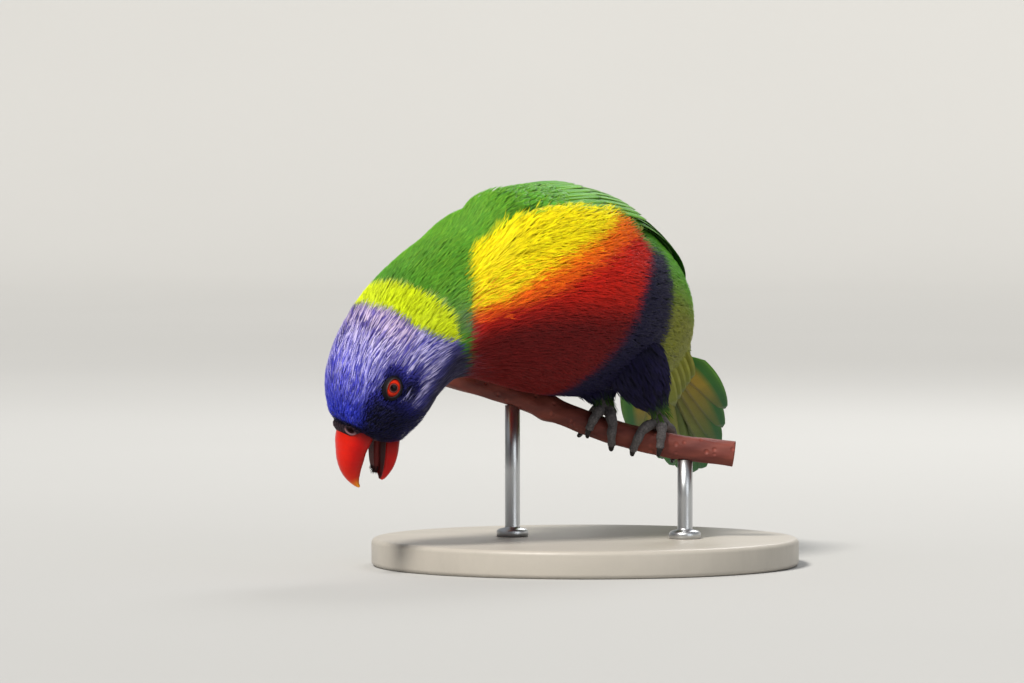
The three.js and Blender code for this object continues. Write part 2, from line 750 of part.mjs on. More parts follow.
add("head", head(), COLOURS.head);
add("neck", neck(), COLOURS.neck);
add("torso", torso(), COLOURS.torso);
add("tail", tail(), COLOURS.tail, 0.6);
add("upper_bill", upperBill(), COLOURS.bill, 0.3);
add("lower_bill", lowerBill(), COLOURS.bill, 0.3);
add("cere", cere(), COLOURS.cere, 0.5);
add("tongue", tongue(), COLOURS.tongue, 0.5);
for (const [name, leg] of Object.entries(LEGS)) {
  add(`${name}_wing`, wing(leg.side), COLOURS.wing, 0.6);
  add(`${name}_eye`, eyeBall(leg.side, 0), COLOURS.eye, 0.1);
  add(`${name}_thigh`, thigh(leg), COLOURS.thigh);
  add(`${name}_foot`, foot(leg), COLOURS.foot, 0.6);
}
add("stand_perch", perchBody(0), COLOURS.perch, 0.7);
add("stand_base", standBase(), COLOURS.base, 0.5);
ROD_PLACES.forEach((share, i) => add(`stand_rod_${i + 1}`, standRod(share), COLOURS.rod, 0.3, 1));

export default lorikeet;
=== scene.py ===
# A rainbow lorikeet, life size, leaning down from a short cut branch on a plain display stand.
# Shapes are worked out in millimetres and made in metres, +Z up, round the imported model.
import math

import bpy
import numpy as np
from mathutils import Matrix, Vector, kdtree


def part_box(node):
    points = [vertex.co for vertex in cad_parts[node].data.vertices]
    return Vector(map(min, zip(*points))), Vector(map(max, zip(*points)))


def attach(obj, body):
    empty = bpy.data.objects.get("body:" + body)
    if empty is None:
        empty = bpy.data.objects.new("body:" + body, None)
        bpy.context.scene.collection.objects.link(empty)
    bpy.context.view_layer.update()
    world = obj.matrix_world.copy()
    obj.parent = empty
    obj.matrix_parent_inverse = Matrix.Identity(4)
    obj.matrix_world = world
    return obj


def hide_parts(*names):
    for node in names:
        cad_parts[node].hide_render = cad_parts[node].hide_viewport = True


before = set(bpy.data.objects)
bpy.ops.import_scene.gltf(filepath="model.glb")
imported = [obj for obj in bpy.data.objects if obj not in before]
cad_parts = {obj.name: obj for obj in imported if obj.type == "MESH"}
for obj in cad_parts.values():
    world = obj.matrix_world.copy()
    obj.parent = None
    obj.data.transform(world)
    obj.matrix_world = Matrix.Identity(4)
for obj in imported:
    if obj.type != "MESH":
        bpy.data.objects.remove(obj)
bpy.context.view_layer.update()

MM = 0.001
SEED = 31

# The body: one row for each section, with its centre, the way the back faces, and how far the
# plumage reaches towards the back, the belly and each side. A place on it is (row, angle), with
# the angle turning from the back (0) towards the bird's left (90).
SPINE = [
    [-64.4, -52.0, 40.0, -0.86, -0.46, 0.24, 4.5, 5.5, 4.5],  # 0 face, inside the bill
    [-63.6, -52.0, 42.0, -0.86, -0.46, 0.24, 9.4, 11.2, 8.8],  # 1 root of the bill
    [-62.2, -51.8, 45.4, -0.85, -0.47, 0.24, 12.8, 13.2, 11.6],  # 2 lores
    [-59.7, -51.0, 51.2, -0.84, -0.47, 0.27, 16.0, 15.4, 14.2],  # 3 eye
    [-55.2, -49.0, 61.4, -0.80, -0.36, 0.46, 17.4, 16.8, 15.8],  # 4 back of the head
    [-47.6, -45.0, 70.6, -0.68, -0.12, 0.72, 18.8, 18.0, 17.8],  # 5 neck
    [-37.0, -38.0, 76.4, -0.52, 0.10, 0.84, 22.0, 21.4, 22.4],  # 6 shoulder
    [-24.6, -27.0, 79.4, -0.42, 0.28, 0.86, 25.4, 26.0, 26.4],  # 7 breast
    [-11.8, -12.0, 79.2, -0.38, 0.32, 0.86, 28.2, 29.2, 28.6],  # 8 middle
    [-0.4, 4.0, 76.8, -0.40, 0.34, 0.85, 27.2, 28.6, 27.6],  # 9 belly
    [9.4, 20.0, 72.6, -0.40, 0.36, 0.84, 22.4, 24.2, 23.6],  # 10 rump
    [16.0, 34.0, 67.0, -0.36, 0.38, 0.85, 15.8, 17.0, 17.6],  # 11 vent
    [20.0, 46.0, 60.8, -0.30, 0.46, 0.84, 8.8, 9.4, 12.4],  # 12 root of the tail
    [25.4, 66.0, 50.0, -0.24, 0.50, 0.82, 3.4, 3.0, 10.0],  # 13 middle of the tail
    [33.0, 106.0, 29.6, -0.20, 0.50, 0.84, 1.4, 1.2, 6.0],  # 14 towards the tail's tip
    [36.4, 125.0, 19.6, -0.20, 0.50, 0.84, 0.6, 0.6, 2.0],  # 15 tip of the tail
]
LAST_ROW = len(SPINE) - 1
RUMP_ROW = 12.6
HEAD_COAT, BODY_COAT = 1.3, 2.6  # depth of the coat on the head and on the body

PERCH = [[-41, 10, 55], [-21.8, 5, 49.6], [-5.8, 0.5, 43.6], [7.8, -3, 38.9], [25.2, -5, 34.9],
         [43, -5, 32.4]]
PERCH_RADIUS = 3.6
LEGS = {
    "left": {"side": 1, "hip": [12, -8, 63], "heel": [21, -6, 46.0], "foot": 0.745},
    "right": {"side": -1, "hip": [0, 4, 63], "heel": [5.4, -1.4, 47.6], "foot": 0.55},
}
# The thigh: shares of the way from hip to heel, and its half width and half height there
THIGH = [[0.0, 9.0, 8.0], [0.3, 9.4, 8.6], [0.6, 8.0, 7.4], [0.82, 6.0, 5.6], [1.0, 3.4, 3.2]]


def srgb(r, g, b):
    """A linear colour from the usual 0 to 255 numbers."""
    shares = np.array([r, g, b]) / 255
    return np.where(shares < 0.0425, shares / 12.92, ((shares + 0.055) / 1.055) ** 2.4)


CROWN = srgb(66, 66, 192)
FOREHEAD = srgb(38, 52, 204)
NAPE = srgb(88, 74, 156)
CHEEK = srgb(60, 58, 158)
STREAK = srgb(130, 134, 242)
PALE_STREAK = srgb(208, 200, 246)
NAPE_STREAK = srgb(204, 176, 196)
MASK = srgb(15, 14, 34)
THROAT = srgb(22, 20, 60)
GRIZZLE = srgb(112, 100, 112)
COLLAR = srgb(210, 226, 14)
NECK_GREEN = srgb(80, 148, 36)
GREEN_EDGE = srgb(140, 188, 44)
BACK_GREEN = srgb(82, 152, 32)
RUMP_GREEN = srgb(92, 168, 26)
HEEL_GREEN = srgb(72, 108, 26)
YELLOW = srgb(255, 234, 0)
ORANGE = srgb(250, 112, 2)
RED = srgb(206, 28, 8)
CRIMSON = srgb(94, 4, 9)
NAVY = srgb(20, 16, 52)
VENT = srgb(128, 132, 36)
MOUTH = srgb(64, 14, 14)


# Numbers and shapes

def smooth(x, low, high):
    """0 below low, 1 above high, and a smooth step between them."""
    t = np.clip((np.asarray(x, float) - low) / (high - low), 0, 1)
    return t * t * (3 - 2 * t)


def mix(a, b, share):
    """From a to b by a share for each row."""
    share = np.asarray(share, float)[..., None]
    return a * (1 - share) + b * share


def bell(x, width):
    """1 at 0, falling away on both sides."""
    return np.exp(-((x / width) ** 2))


def layered(colour, *layers):
    """A colour with others laid over it in turn, each given with its share."""
    for over, share in layers:
        colour = mix(colour, over, share)
    return colour


def value(given, *place):
    """A given number, or what a given function says at a place."""
    return given(*place) if callable(given) else given


def line(places, x):
    return np.interp(x, *zip(*places))


def unit(v):
    return v / np.linalg.norm(v, axis=-1, keepdims=True)


def circle(count):
    """Angles spread evenly round a circle."""
    return np.arange(count) * 2 * np.pi / count


def folded(angle):
    """The angle from the back, 0 to 180, the same for both sides."""
    return np.abs((np.asarray(angle, float) + 180) % 360 - 180)


def between(rows, place):
    """A smooth curve through rows of numbers, at places counted in rows."""
    rows, place = np.asarray(rows, float), np.asarray(place, float)
    i = np.clip(np.floor(place).astype(int), 0, len(rows) - 2)
    u = (place - i)[..., None]
    a, b, c, d = (rows[np.clip(i + k, 0, len(rows) - 1)] for k in (-1, 0, 1, 2))
    square, cube = 2 * a - 5 * b + 4 * c - d, 3 * b - a - 3 * c + d
    return 0.5 * (2 * b + (c - a) * u + square * u**2 + cube * u**3)


class Form:
    """A body of oval sections, with places on it given by row, angle in degrees, and lift."""

    def __init__(self, rows):
        self.rows = np.array(rows, float)

    def section(self, row):
        """The centre, the ways ahead, back and left, and the reaches of a section."""
        now = between(self.rows, row)
        forward = unit(between(self.rows, row - 0.01)[..., :3] - between(self.rows, row + 0.01)[..., :3])
        back = now[..., 3:6]
        back = unit(back - (back * forward).sum(-1, keepdims=True) * forward)
        return now[..., :3], forward, back, np.cross(back, forward), now[..., 6:9]

    def point(self, row, angle, lift=0.0):
        row, angle, lift = np.broadcast_arrays(np.asarray(row, float), angle, lift)
        centre, _, back, left, reach = self.section(row)
        turn = np.radians(angle)
        up = np.where(np.cos(turn) > 0, reach[..., 0], reach[..., 1]) + lift
        side = reach[..., 2] + lift
        return centre + back * (np.cos(turn) * up)[..., None] + left * (np.sin(turn) * side)[..., None]

    def scale(self, row, angle):
        """Millimetres for one row and for one degree."""
        ahead = self.point(row + 0.02, angle) - self.point(row - 0.02, angle)
        beside = self.point(row, angle + 1) - self.point(row, angle - 1)
        return np.linalg.norm(ahead, axis=-1) / 0.04, np.linalg.norm(beside, axis=-1) / 2


BODY = Form(SPINE)
FACE_AT, FACE_FORWARD, FACE_BACK, FACE_LEFT, _ = BODY.section(np.array(1.0))
FACE_AXES = np.stack([FACE_FORWARD, FACE_BACK, FACE_LEFT])


def face_point(forward, up, left=0.0):
    """A place on the bill, measured from the root of the bill."""
    return FACE_AT + np.stack(np.broadcast_arrays(forward, up, left), -1) @ FACE_AXES


def face_place(points):
    """How far forward, up and left points lie from the root of the bill."""
    return np.moveaxis((points - FACE_AT) @ FACE_AXES.T, -1, 0)


def paint(mesh, colours):
    """Gives each point of a mesh its colour."""
    rgba = np.ones((len(colours), 4), np.float32)
    rgba[:, :3] = np.clip(colours, 0, 1)
    mesh.attributes.new("Col", "FLOAT_COLOR", "POINT").data.foreach_set("color", rgba.ravel())


class Shape:
    """Points, faces, colours and maps, gathered into one mesh."""

    def __init__(self):
        self.points, self.loops, self.starts, self.colours, self.smooth, self.maps = [], [], [], [], [], {}
        self.count = self.corners = 0

    def add(self, points, loops, starts, colours, smoothed=None, **maps):
        points = np.asarray(points, float).reshape(-1, 3)
        self.points.append(points)
        self.loops.append(np.asarray(loops) + self.count)
        self.starts.append(np.asarray(starts) + self.corners)
        self.smooth.append(np.ones(len(starts), bool) if smoothed is None else smoothed)
        self.colours.append(np.broadcast_to(colours, (len(points), 3)))
        for name, values in maps.items():
            self.maps.setdefault(name, []).append(values)
        self.count += len(points)
        self.corners += len(loops)

    def object(self, name, look):
        """The gathered mesh as an object of the scene, on the model's only body."""
        mesh = bpy.data.meshes.new(name)
        points, loops, starts = (np.concatenate(x) for x in (self.points, self.loops, self.starts))
        mesh.vertices.add(len(points))
        mesh.vertices.foreach_set("co", (points * MM).astype(np.float32).ravel())
        mesh.loops.add(len(loops))
        mesh.loops.foreach_set("vertex_index", loops.astype(np.int32))
        mesh.polygons.add(len(starts))
        mesh.polygons.foreach_set("loop_start", starts.astype(np.int32))
        mesh.polygons.foreach_set("use_smooth", np.concatenate(self.smooth))
        mesh.update(calc_edges=True)
        paint(mesh, np.concatenate(self.colours))
        for map_name, values in self.maps.items():
            layer = mesh.uv_layers.new(name=map_name)
            layer.uv.foreach_set("vector", np.concatenate(values)[loops].astype(np.float32).ravel())
        mesh.materials.append(look)
        obj = bpy.data.objects.new(name, mesh)
        bpy.context.scene.collection.objects.link(obj)
        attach(obj, "root")
        return obj

    def piece(self, name, look, slot, replaces=()):
        """The gathered mesh as a piece of the model, in place of the solids that it replaces."""
        obj = self.object(name, look)
        if replaces:
            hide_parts(*replaces)
        return obj


def ring_faces(rings, count):
    """Four-sided faces between rings of points, and fans to a point at each end."""
    r, k = np.meshgrid(np.arange(rings - 1), np.arange(count), indexing="ij")
    a, b = (r * count + k).ravel(), (r * count + (k + 1) % count).ravel()
    quads = np.stack([a, b, b + count, a + count], 1)
    k = np.arange(count)
    first = np.stack([(k + 1) % count, k, np.full(count, rings * count)], 1)
    last = (rings - 1) * count
    final = np.stack([last + k, last + (k + 1) % count, np.full(count, rings * count + 1)], 1)
    loops = np.concatenate([quads.ravel(), first.ravel(), final.ravel()])
    starts = np.concatenate([np.arange(len(quads)) * 4, len(quads) * 4 + np.arange(2 * count) * 3])
    return loops, starts


def add_sweep(shape, rings, colours):
    """Adds a closed body from rings of points, with a point put in the middle of each end."""
    rings = np.asarray(rings, float)
    points = np.concatenate([rings.reshape(-1, 3), [rings[0].mean(0), rings[-1].mean(0)]])
    if np.ndim(colours) == 3:
        colours = np.concatenate([colours.reshape(-1, 3), colours[0, :1], colours[-1, :1]])
    shape.add(points, *ring_faces(len(rings), rings.shape[1]), colours)


def swept(rings, colours, name, look, slot, replaces=()):
    """A piece made of one closed body of rings."""
    shape = Shape()
    add_sweep(shape, rings, colours)
    return shape.piece(name, look, slot, replaces)


def tube_rings(points, radii, sides, hint=(0, 1, 0)):
    """Rings of a round tube along points, each begun on the side that the hint points to."""
    along = unit(np.gradient(points, axis=0))
    across = unit(hint - (along @ np.asarray(hint, float))[:, None] * along)
    up = np.cross(along, across)
    turn = circle(sides)
    radii = np.broadcast_to(radii, len(points))[:, None]
    x, y = (np.cos(turn) * radii)[..., None], (np.sin(turn) * radii)[..., None]
    return points[:, None] + across[:, None] * x + up[:, None] * y


# Materials

class Look:
    """A material in the colours that its mesh carries, built up by linking nodes to its shader."""

    def __init__(self, name, roughness, specular=0.5, coat=0.0, coat_roughness=0.1, metallic=0.0):
        self.material = bpy.data.materials.new(name)
        self.material.use_nodes = True
        self.tree = self.material.node_tree
        self.shader = self.tree.nodes["Principled BSDF"]
        settings = {"Roughness": roughness, "Specular IOR Level": specular, "Coat Weight": coat,
                    "Coat Roughness": coat_roughness, "Metallic": metallic}
        for key, number in settings.items():
            self.shader.inputs[key].default_value = number
        self.place = self.node("TexCoord", output="Object")
        self.painted = self.colour = self.node("Attribute", attribute_name="Col")

    def node(self, kind, inputs=(), output=0, **settings):
        made = self.tree.nodes.new("ShaderNode" + kind)
        for key, setting in settings.items():
            setattr(made, key, setting)
        for key, given in dict(inputs).items():
            if isinstance(given, bpy.types.NodeSocket):
                self.tree.links.new(given, made.inputs[key])
            else:
                made.inputs[key].default_value = given
        return made.outputs[output]

    def link(self, socket, name):
        self.tree.links.new(socket, self.shader.inputs[name])

    def math(self, operation, *values):
        return self.node("Math", dict(enumerate(values)), operation=operation)

    def spread(self, texture, low, high, start=0.0, end=1.0):
        """A texture between start and end as numbers from low to high."""
        return self.node("MapRange", {"Value": texture, "From Min": start, "From Max": end,
                                      "To Min": low, "To Max": high})

    def noise(self, scale, detail=3.0, rough=0.55, stretch=(1, 1, 1)):
        place = self.node("Mapping", {"Vector": self.place, "Scale": stretch})
        return self.node("TexNoise", {"Vector": place, "Scale": scale, "Detail": detail, "Roughness": rough})

    def vary(self, texture, low, high):
        """Makes the colour darker and lighter by a texture."""
        factor = self.spread(texture, low, high)
        self.colour = self.node("VectorMath", {0: self.colour, "Scale": factor}, operation="SCALE")
        self.link(self.colour, "Base Color")

    def bump(self, height, strength, distance):
        self.link(self.node("Bump", {"Height": height, "Strength": strength, "Distance": distance}), "Normal")


def grained_look(name, roughness, grain, tones, relief=None, gloss=None, **shader):
    """One noise for the colour, and for the relief and the roughness where they are given."""
    look = Look(name, roughness, **shader)
    spots = look.noise(*grain)
    look.vary(spots, *tones)
    if gloss:
        look.link(look.spread(spots, *gloss), "Roughness")
    if relief:
        look.bump(spots, *relief)
    return look.material


def feather_look(name, roughness, barb, strength):
    """Feather vanes: slanted barbs each side of the shaft, over the mesh's colour."""
    look = Look(name, roughness, specular=0.22)
    vane_place = look.node("UVMap", uv_map="Vane")
    along, across = (look.node("SeparateXYZ", {0: vane_place}, output=axis) for axis in "XY")
    slant = look.math("MULTIPLY_ADD", look.math("ABSOLUTE", across), -0.9, along)
    wave = look.math("SINE", look.math("MULTIPLY", slant, barb))
    barbs = look.math("MULTIPLY_ADD", wave, 0.5, 0.5)
    look.vary(barbs, 0.9, 1.08)
    look.vary(look.noise(240, 4), 0.82, 1.18)
    look.bump(barbs, strength, 0.0002)
    return look.material


def horn_look(name, roughness, coat):
    """Smooth horn with faint growth lines, glossier where it is red."""
    look = Look(name, roughness, specular=0.2, coat=coat, coat_roughness=0.12)
    patches = look.noise(260, 4, 0.6)
    look.vary(patches, 0.78, 1.2)
    look.link(look.spread(patches, roughness * 0.8, roughness * 1.5), "Roughness")
    red = look.node("SeparateXYZ", {0: look.painted})
    look.link(look.spread(red, 0.0, 0.18, 0.06, 0.3), "Specular IOR Level")
    look.bump(look.noise(1500, 2, 0.5, (1, 1, 0.2)), 0.18, 0.0002)
    return look.material


def leather_look(name, roughness, cells, strength):
    """Bare skin with fine cells."""
    look = Look(name, roughness, specular=0.12)
    cell = look.node("TexVoronoi", {"Vector": look.place, "Scale": cells}, feature="DISTANCE_TO_EDGE")
    seam = look.spread(cell, 0.0, 1.0, 0.0, 0.12)
    look.vary(look.noise(700), 0.75, 1.25)
    look.vary(seam, 0.7, 1.05)
    look.bump(seam, strength, 0.0002)
    return look.material


def bark_look():
    """Bark streaked along the branch, with paler pores."""
    look = Look("bark", 0.6, specular=0.35)
    streaks = look.noise(160, 5, 0.65, (0.35, 1.4, 1.4))
    spots = look.node("TexVoronoi", {"Vector": look.place, "Scale": 300.0})
    pore = look.spread(spots, 0.0, 1.0, 0.08, 0.26)
    look.vary(streaks, 0.4, 1.7)
    look.vary(pore, 1.5, 1.0)
    look.bump(look.math("ADD", streaks, pore), 0.7, 0.0006)
    return look.material


def base_look():
    """Painted wood with its grain showing through."""
    look = Look("painted_wood", 0.42, specular=0.4)
    grain = look.noise(60, 6, 0.65, (0.3, 3.2, 1))
    look.vary(grain, 0.86, 1.1)
    look.bump(look.math("ADD", grain, look.noise(600, 3, 0.6, (0.2, 4, 1))), 0.12, 0.0004)
    return look.material


# Markings: where each colour of the plumage begins and ends, as (angle, row) or (row, angle)

COLLAR_START = [(0, 4.42), (24, 4.42), (38, 4.5), (62, 4.54), (78, 4.52), (95, 4.68), (107, 4.8), (118, 5.04)]
COLLAR_END = [(0, 4.86), (15, 4.88), (33, 4.94), (50, 5.0), (67, 5.08), (79, 5.16), (100, 5.22), (118, 5.04)]
COLLAR_TIP = 118
YELLOW_START = [(35, 6.42), (54, 6.14), (72, 5.88), (97, 5.6), (114, 5.42), (124, 5.3), (140, 5.2),
                (180, 5.1)]
YELLOW_BACK = [(5.0, 70), (6.0, 62), (6.5, 65), (7.4, 68), (8.2, 71), (8.8, 88)]
ORANGE_FROM = [(5.2, 103), (5.94, 110), (6.28, 112), (6.64, 106), (6.96, 104), (7.34, 96), (7.78, 88),
               (8.22, 77), (8.6, 64)]
RED_FROM = [(5.2, 107), (5.9, 117), (6.42, 119), (6.9, 116), (7.24, 109), (7.64, 101), (8.1, 92),
            (8.44, 84), (8.8, 76)]
NAVY_START = [(0, 9.4), (70, 9.1), (85, 8.9), (101, 8.62), (117, 8.38), (141, 8.2), (163, 8.0), (180, 7.9)]
VENT_START = 9.2
EYE_PLACE = (3.25, 79.0)


def spot(row, side, place, size):
    """A soft oval spot: 1 in its middle, given by row and angle, and fading away from it."""
    return bell(row - place[0], size[0]) * bell(side - place[1], size[1])


def face_mask(row, side):
    """How dark the face is: lores, chin and round the eye."""
    lores = (1 - smooth(row, 2.5, 3.5)) * smooth(side, 40, 72)
    eye = 1.15 * spot(row, side, EYE_PLACE, (0.5, 19))
    behind = 1.05 * spot(row, side, (3.35, 98), (0.4, 14))
    rim = 1 - smooth(row, 0.95, 1.3)
    return np.clip(np.maximum.reduce([lores, eye, behind, rim]), 0, 1)


def head_colour(row, side):
    return layered(
        mix(FOREHEAD, CROWN, smooth(row, 1.6, 2.9)),
        (CHEEK, smooth(side, 84, 104) * smooth(row, 2.4, 3.2)),
        (NAPE, smooth(row, 3.3, 4.3) * (1 - smooth(side, 60, 100))),
        (MASK, face_mask(row, side)),
        (THROAT, smooth(side, 112, 134)),
    )


def body_colour(row, side):
    """Green above, yellow, orange and red below, then the navy belly and the vent."""
    front = layered(
        mix(YELLOW, ORANGE, smooth(side - line(ORANGE_FROM, row), -8, 4)),
        (RED, smooth(side - line(RED_FROM, row), -5, 6)),
        # The red deepens to crimson towards the underside: partly the bird's own colour, partly painted
        # shade.
        (CRIMSON, smooth(side, 114, 142) * 0.9),
        (NAVY, smooth(row - line(NAVY_START, side), -0.12, 0.16)),
    )
    warm = smooth(row - line(YELLOW_START, side), -0.05, 0.06) * smooth(side - line(YELLOW_BACK, row), -4, 3)
    low = smooth(row, 10.2, 11.4) * smooth(side, 60, 90)
    vent = layered(RUMP_GREEN, (VENT, smooth(side, 90, 130)), (VENT, low))
    return layered(
        mix(NECK_GREEN, BACK_GREEN, smooth(row, 6, 8) * (1 - smooth(side, 40, 70))),
        (RUMP_GREEN, smooth(row, 9.4, 11)),
        (front, warm),
        (vent, smooth(row, VENT_START, VENT_START + 0.25) * smooth(side, 50, 66)),
    )


def markings(row, angle):
    """The plumage's colour at places on the body."""
    row, side = np.asarray(row, float), folded(angle)
    past_collar = smooth(row - line(COLLAR_END, side), -0.03, 0.05)
    throat = smooth(row, 5.05, 5.3) * smooth(side, 112, 126)
    collar = smooth(row - line(COLLAR_START, side), -0.05, 0.05) * (1 - past_collar)
    return layered(
        head_colour(row, side),
        (body_colour(row, side), np.maximum(past_collar * (1 - smooth(side, 126, 136)), throat)),
        (GRIZZLE, 0.6 * spot(row, side, (5.36, 110), (0.14, 14))),
        (COLLAR, collar * (side < COLLAR_TIP)),
    )


# Feathers

def template_of(parts, flat=True):
    """Joins shapes of one feather: shares of its length and width, heights, and faces."""
    whole = {k: np.concatenate([p[k] for p in parts]) for k in ("u", "x", "v", "z")}
    whole["strand"] = np.concatenate([np.full(len(p["u"]), i) for i, p in enumerate(parts)])
    points = np.cumsum([0] + [len(p["u"]) for p in parts])
    faces = [tuple(k + n for k in f) for p, n in zip(parts, points) for f in p["faces"]]
    whole["loops"] = np.concatenate([np.array(f) for f in faces])
    whole["starts"] = np.cumsum([0] + [len(f) for f in faces])[:-1]
    whole["smooth"] = np.full(len(faces), not flat)
    return whole


def vane(stations, top, point=3.0, quill=0.4, wide=1.0, long=1.0):
    """One closed vane, narrow at the quill and round at the tip."""
    across = np.linspace(-1, 1, top)
    under = across[-2:0:-1]
    ring = len(across) + len(under)
    share = np.linspace(0, 1, stations + 1)[:-1]
    u = np.append(np.repeat(share, ring), 1.0)
    v = np.append(np.tile(np.concatenate([across, under]), stations), 0.0)
    z = np.append(np.tile(np.concatenate([1 - across**2, under**2 - 1]), stations) * 0.5, 0.0)
    outline = np.minimum(1, quill + 2.2 * u) * np.maximum(1 - u**point, 0) ** 0.6
    faces = [(r * ring + (k + 1) % ring, r * ring + k, (r + 1) * ring + k, (r + 1) * ring + (k + 1) % ring)
             for r in range(stations - 1) for k in range(ring)]
    last = (stations - 1) * ring
    faces += [(last + (k + 1) % ring, last + k, stations * ring) for k in range(ring)]
    faces.append(tuple(range(ring)))
    return {"u": u * long, "x": v * outline * wide, "v": v, "z": z, "faces": faces}


def smooth_vane(*sizes):
    return template_of([vane(*sizes)], flat=False)


def barb(root, side, lean, length, wide):
    """One free barb, a thin spine that bends towards the tip of its feather."""
    u, x, z = [], [], []
    for t, w in ((0.0, 0.7), (0.5, 1.0), (1.0, 0.0)):
        bend = lean * (1 - 0.45 * t)
        for offset, high in ((-1, 0), (0, 1), (1, 0)) if w else ((0, 0),):
            u.append(root + math.cos(bend) * length * t)
            x.append(side * math.sin(bend) * length * t + offset * wide * w)
            z.append(high * 0.8)
    faces = [(0, 2, 1), (0, 1, 4, 3), (1, 2, 5, 4), (2, 0, 3, 5), (3, 4, 6), (4, 5, 6), (5, 3, 6)]
    return {"u": np.array(u), "x": np.array(x), "v": np.zeros(len(u)), "z": np.array(z), "faces": faces}


STRAND = template_of([barb(0, 1, 0, 1, 1)])


def plume(barbs, seed, spread, wide, middle):
    """A loose feather: a slim vane with free barbs fanning from its shaft."""
    rng = np.random.default_rng(seed)
    parts = [vane(3, 3, 2.4, wide=middle, long=0.9)]
    for i in range(barbs):
        share = (i + 0.5) / barbs
        lean = spread * rng.uniform(0.15, 1.0) * (1.1 - 0.5 * share)
        length = (0.66 - 0.22 * share) * rng.uniform(0.75, 1.15)
        side = 1 if i % 2 else -1
        parts.append(barb(0.02 + 0.62 * share, side, lean, length, wide * rng.uniform(0.7, 1.2)))
    return template_of(parts)


def tinted(template, colours, rng, shade):
    """Colours for each point of each feather, from those of its root, vane, tip and shaft."""
    root, middle, tip, streak, strength = colours
    streak = np.broadcast_to(streak, root.shape)
    u = np.clip(template["u"], 0, 1)
    shaft = np.maximum(1 - np.abs(template["v"]) * 1.15, 0) * (template["z"] >= 0) * smooth(u, 0.1, 0.4)
    shaft = np.clip(np.broadcast_to(strength, len(root))[:, None] * shaft, 0, 1)
    colour = layered(root[:, None], (middle[:, None], smooth(u, 0.05, 0.5)),
                     (tip[:, None], smooth(u, 0.7, 1.0)), (streak[:, None], shaft))
    jitter = 1 + rng.normal(0, shade, (len(root), template["strand"].max() + 1))[:, template["strand"]]
    return colour * np.clip(jitter, 0.5, 1.6)[..., None]


def add_feathers(shape, template, points, colour, rows, angles, along, across):
    """Adds many feathers of one template, each with its patch of the map at its root's place."""
    count, size = len(rows), len(template["u"])
    patch = 0.003
    half_span = np.abs(template["x"]).max()
    bake_u = ((np.asarray(angles) / 360 + 0.5) % 1)[:, None] + template["x"] / half_span * patch / 2
    bake_v = np.asarray(rows)[:, None] / LAST_ROW + (template["u"] - 0.5) * patch
    bake = np.stack(np.broadcast_arrays(bake_u, bake_v), -1).reshape(-1, 2)
    numbers = np.arange(count)[:, None]
    loops = (template["loops"] + numbers * size).ravel()
    starts = (template["starts"] + numbers * len(template["loops"])).ravel()
    shape.add(points, loops, starts, colour.reshape(-1, 3), np.tile(template["smooth"], count),
              OFBake=np.clip(bake, 0, 1), Vane=np.stack([along, across], -1).reshape(-1, 2))


def scatter(form, first, last, pitch, rng):
    """Roots about pitch apart, in offset lines from one row to another."""
    rows, angles = [], []
    row, number = first, 0
    around = np.linspace(-180, 180, 361)
    while row < last:
        gap = value(pitch, row)
        length = np.append(0, np.cumsum(np.linalg.norm(np.diff(form.point(row, around), axis=0), axis=1)))
        count = max(4, int(length[-1] / gap))
        places = (np.arange(count) + 0.5 * (number % 2) + rng.uniform(-0.4, 0.4, count)) / count
        step = form.scale(np.full(4, row), np.array([0.0, 90.0, 180.0, -90.0]))[0].mean()
        angles.append(np.interp(places * length[-1], length, around))
        rows.append(row + rng.uniform(-0.5, 0.5, count) * gap / step)
        row += gap / step
        number += 1
    return np.concatenate(rows), np.concatenate(angles)


